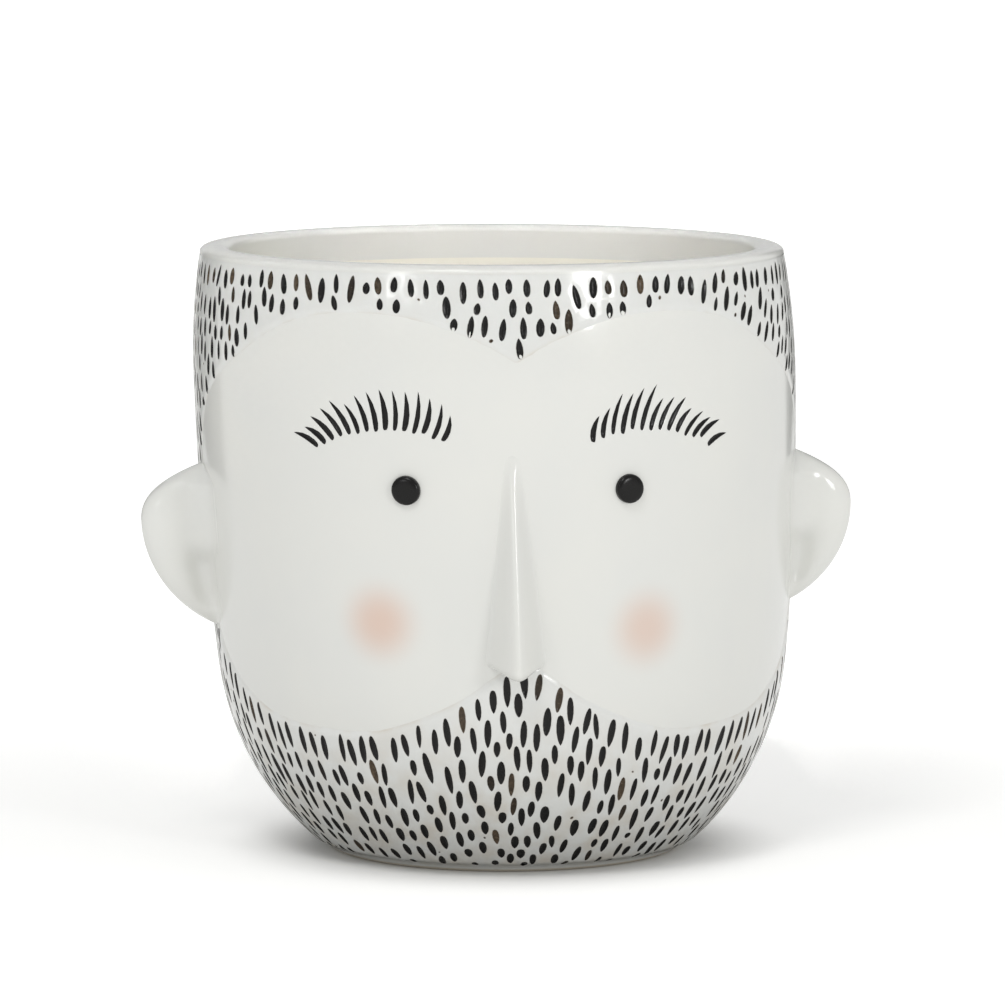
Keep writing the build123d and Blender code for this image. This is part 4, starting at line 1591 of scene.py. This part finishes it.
def stage_sheet(name, corners, material):
    """Flat sheet that belongs to the stage."""
    mesh = bpy.data.meshes.new(name)
    mesh.from_pydata(corners, [], [(0, 1, 2, 3)])
    mesh.materials.append(material)
    sheet = bpy.data.objects.new(name, mesh)
    bpy.context.scene.collection.objects.link(sheet)
    return sheet


class PLANTER_OT_stage(bpy.types.Operator):
    """Set the pale floor, the soft lights, the edge cards and the camera."""

    bl_idname = "head_planter.stage"
    bl_label = "Stage"

    def execute(self, context):
        """Add floor, cards, lights and camera, and choose plain colour output."""
        stage = context.scene.head_planter_stage
        square = [(x * FLOOR_REACH, y * FLOOR_REACH, 0) for x, y in ((-1, -1), (1, -1), (1, 1), (-1, 1))]
        # The floor glows, darker round the pot: painted contact shadow and painted shade
        floor = stage_sheet("floor", square, matt("Glowing white floor, painted shadow round the pot", stage.floor, FLOOR_GLOW_PAINTED_SHADOW))
        floor.visible_diffuse = floor.visible_glossy = floor.visible_shadow = False
        # The sheet under the floor glows as painted light on the pot, its glow left out by the foot as
        # painted shade
        under = stage_sheet("bounce_and_glow_sheet", [(x, y, -BOUNCE_DROP) for x, y, _ in square],
                            matt("Grey board, glowing, painted shade by the foot", stage.bounce, BOUNCE_GLOW_PAINTED_SHADE))
        under.visible_camera = False
        felt = matt("Black felt", stage.card)
        for name, x, near, far in CARDS:
            card = stage_sheet(name, [(x, near, CARD_LIFT), (x, far, CARD_LIFT), (x, far, CARD_HEIGHT),
                                      (x, near, CARD_HEIGHT)], felt)
            card.visible_camera = False
        for name, place, width, power, aim, fan in LIGHTS:
            light = bpy.data.lights.new(name, "AREA")
            light.shape, light.size, light.energy, light.spread = "SQUARE", width, power, fan
            lamp = bpy.data.objects.new(name, light)
            lamp.location = place
            lamp.rotation_euler = (Vector(aim) - Vector(place)).to_track_quat("-Z", "Y").to_euler()
            context.scene.collection.objects.link(lamp)
        world = bpy.data.worlds.new("Studio")
        world.use_nodes = True
        sky = world.node_tree.nodes["Background"].inputs
        sky["Color"].default_value, sky["Strength"].default_value = WHITE, WORLD_STRENGTH
        context.scene.world = world
        context.scene.view_settings.view_transform = "Standard"
        data = bpy.data.cameras.new("camera")
        data.sensor_width = SENSOR_WIDTH_MM
        data.lens = stage.focal_pixels / IMAGE_PIXELS * SENSOR_WIDTH_MM
        camera = bpy.data.objects.new("camera", data)
        right = Vector((cos(stage.azimuth), sin(stage.azimuth), 0))
        camera.location = (stage.distance * sin(stage.azimuth), -stage.distance * cos(stage.azimuth),
                           stage.rise)
        aim = Vector((0, 0, stage.aim_z)) + right * stage.aim_side
        camera.rotation_euler = (aim - camera.location).to_track_quat("-Z", "Y").to_euler()
        context.scene.collection.objects.link(camera)
        context.scene.camera = camera
        return {"FINISHED"}


OPERATORS = (PLANTER_OT_hair_and_beard, PLANTER_OT_pot, PLANTER_OT_nose, PLANTER_OT_ears, PLANTER_OT_eyes,
             PLANTER_OT_plug, PLANTER_OT_stage)


class PLANTER_PT_panel(bpy.types.Panel):
    """Lists the planter's sizes, colours and steps."""

    bl_idname = "PLANTER_PT_panel"
    bl_label = "Head planter"
    bl_space_type = "VIEW_3D"
    bl_region_type = "UI"
    bl_category = "Head planter"

    def draw(self, context):
        """Draw each group's properties, then a button for each step."""
        for group, owner in GROUPS.items():
            box = self.layout.box()
            for name in group.__annotations__:
                box.prop(getattr(context.scene, owner), name)
        for operator in OPERATORS:
            self.layout.operator(operator.bl_idname)


GROUPS = {
    HeadPlanterSizes: "head_planter_sizes",
    HeadPlanterColours: "head_planter_colours",
    HeadPlanterStage: "head_planter_stage",
}


def register():
    """Register the groups, the steps and the panel."""
    for group, name in GROUPS.items():
        bpy.utils.register_class(group)
        setattr(bpy.types.Scene, name, PointerProperty(type=group))
    for item in (*OPERATORS, PLANTER_PT_panel):
        bpy.utils.register_class(item)


def unregister():
    """Take the panel, the steps and the groups away."""
    for item in (PLANTER_PT_panel, *reversed(OPERATORS)):
        bpy.utils.unregister_class(item)
    for group, name in reversed(GROUPS.items()):
        delattr(bpy.types.Scene, name)
        bpy.utils.unregister_class(group)


def main():
    """Register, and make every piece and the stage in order."""
    register()
    bpy.ops.head_planter.hair_and_beard()
    bpy.ops.head_planter.pot()
    bpy.ops.head_planter.nose()
    bpy.ops.head_planter.ears()
    bpy.ops.head_planter.eyes()
    bpy.ops.head_planter.plug()
    bpy.ops.head_planter.stage()


if __name__ == "__main__":
    main()
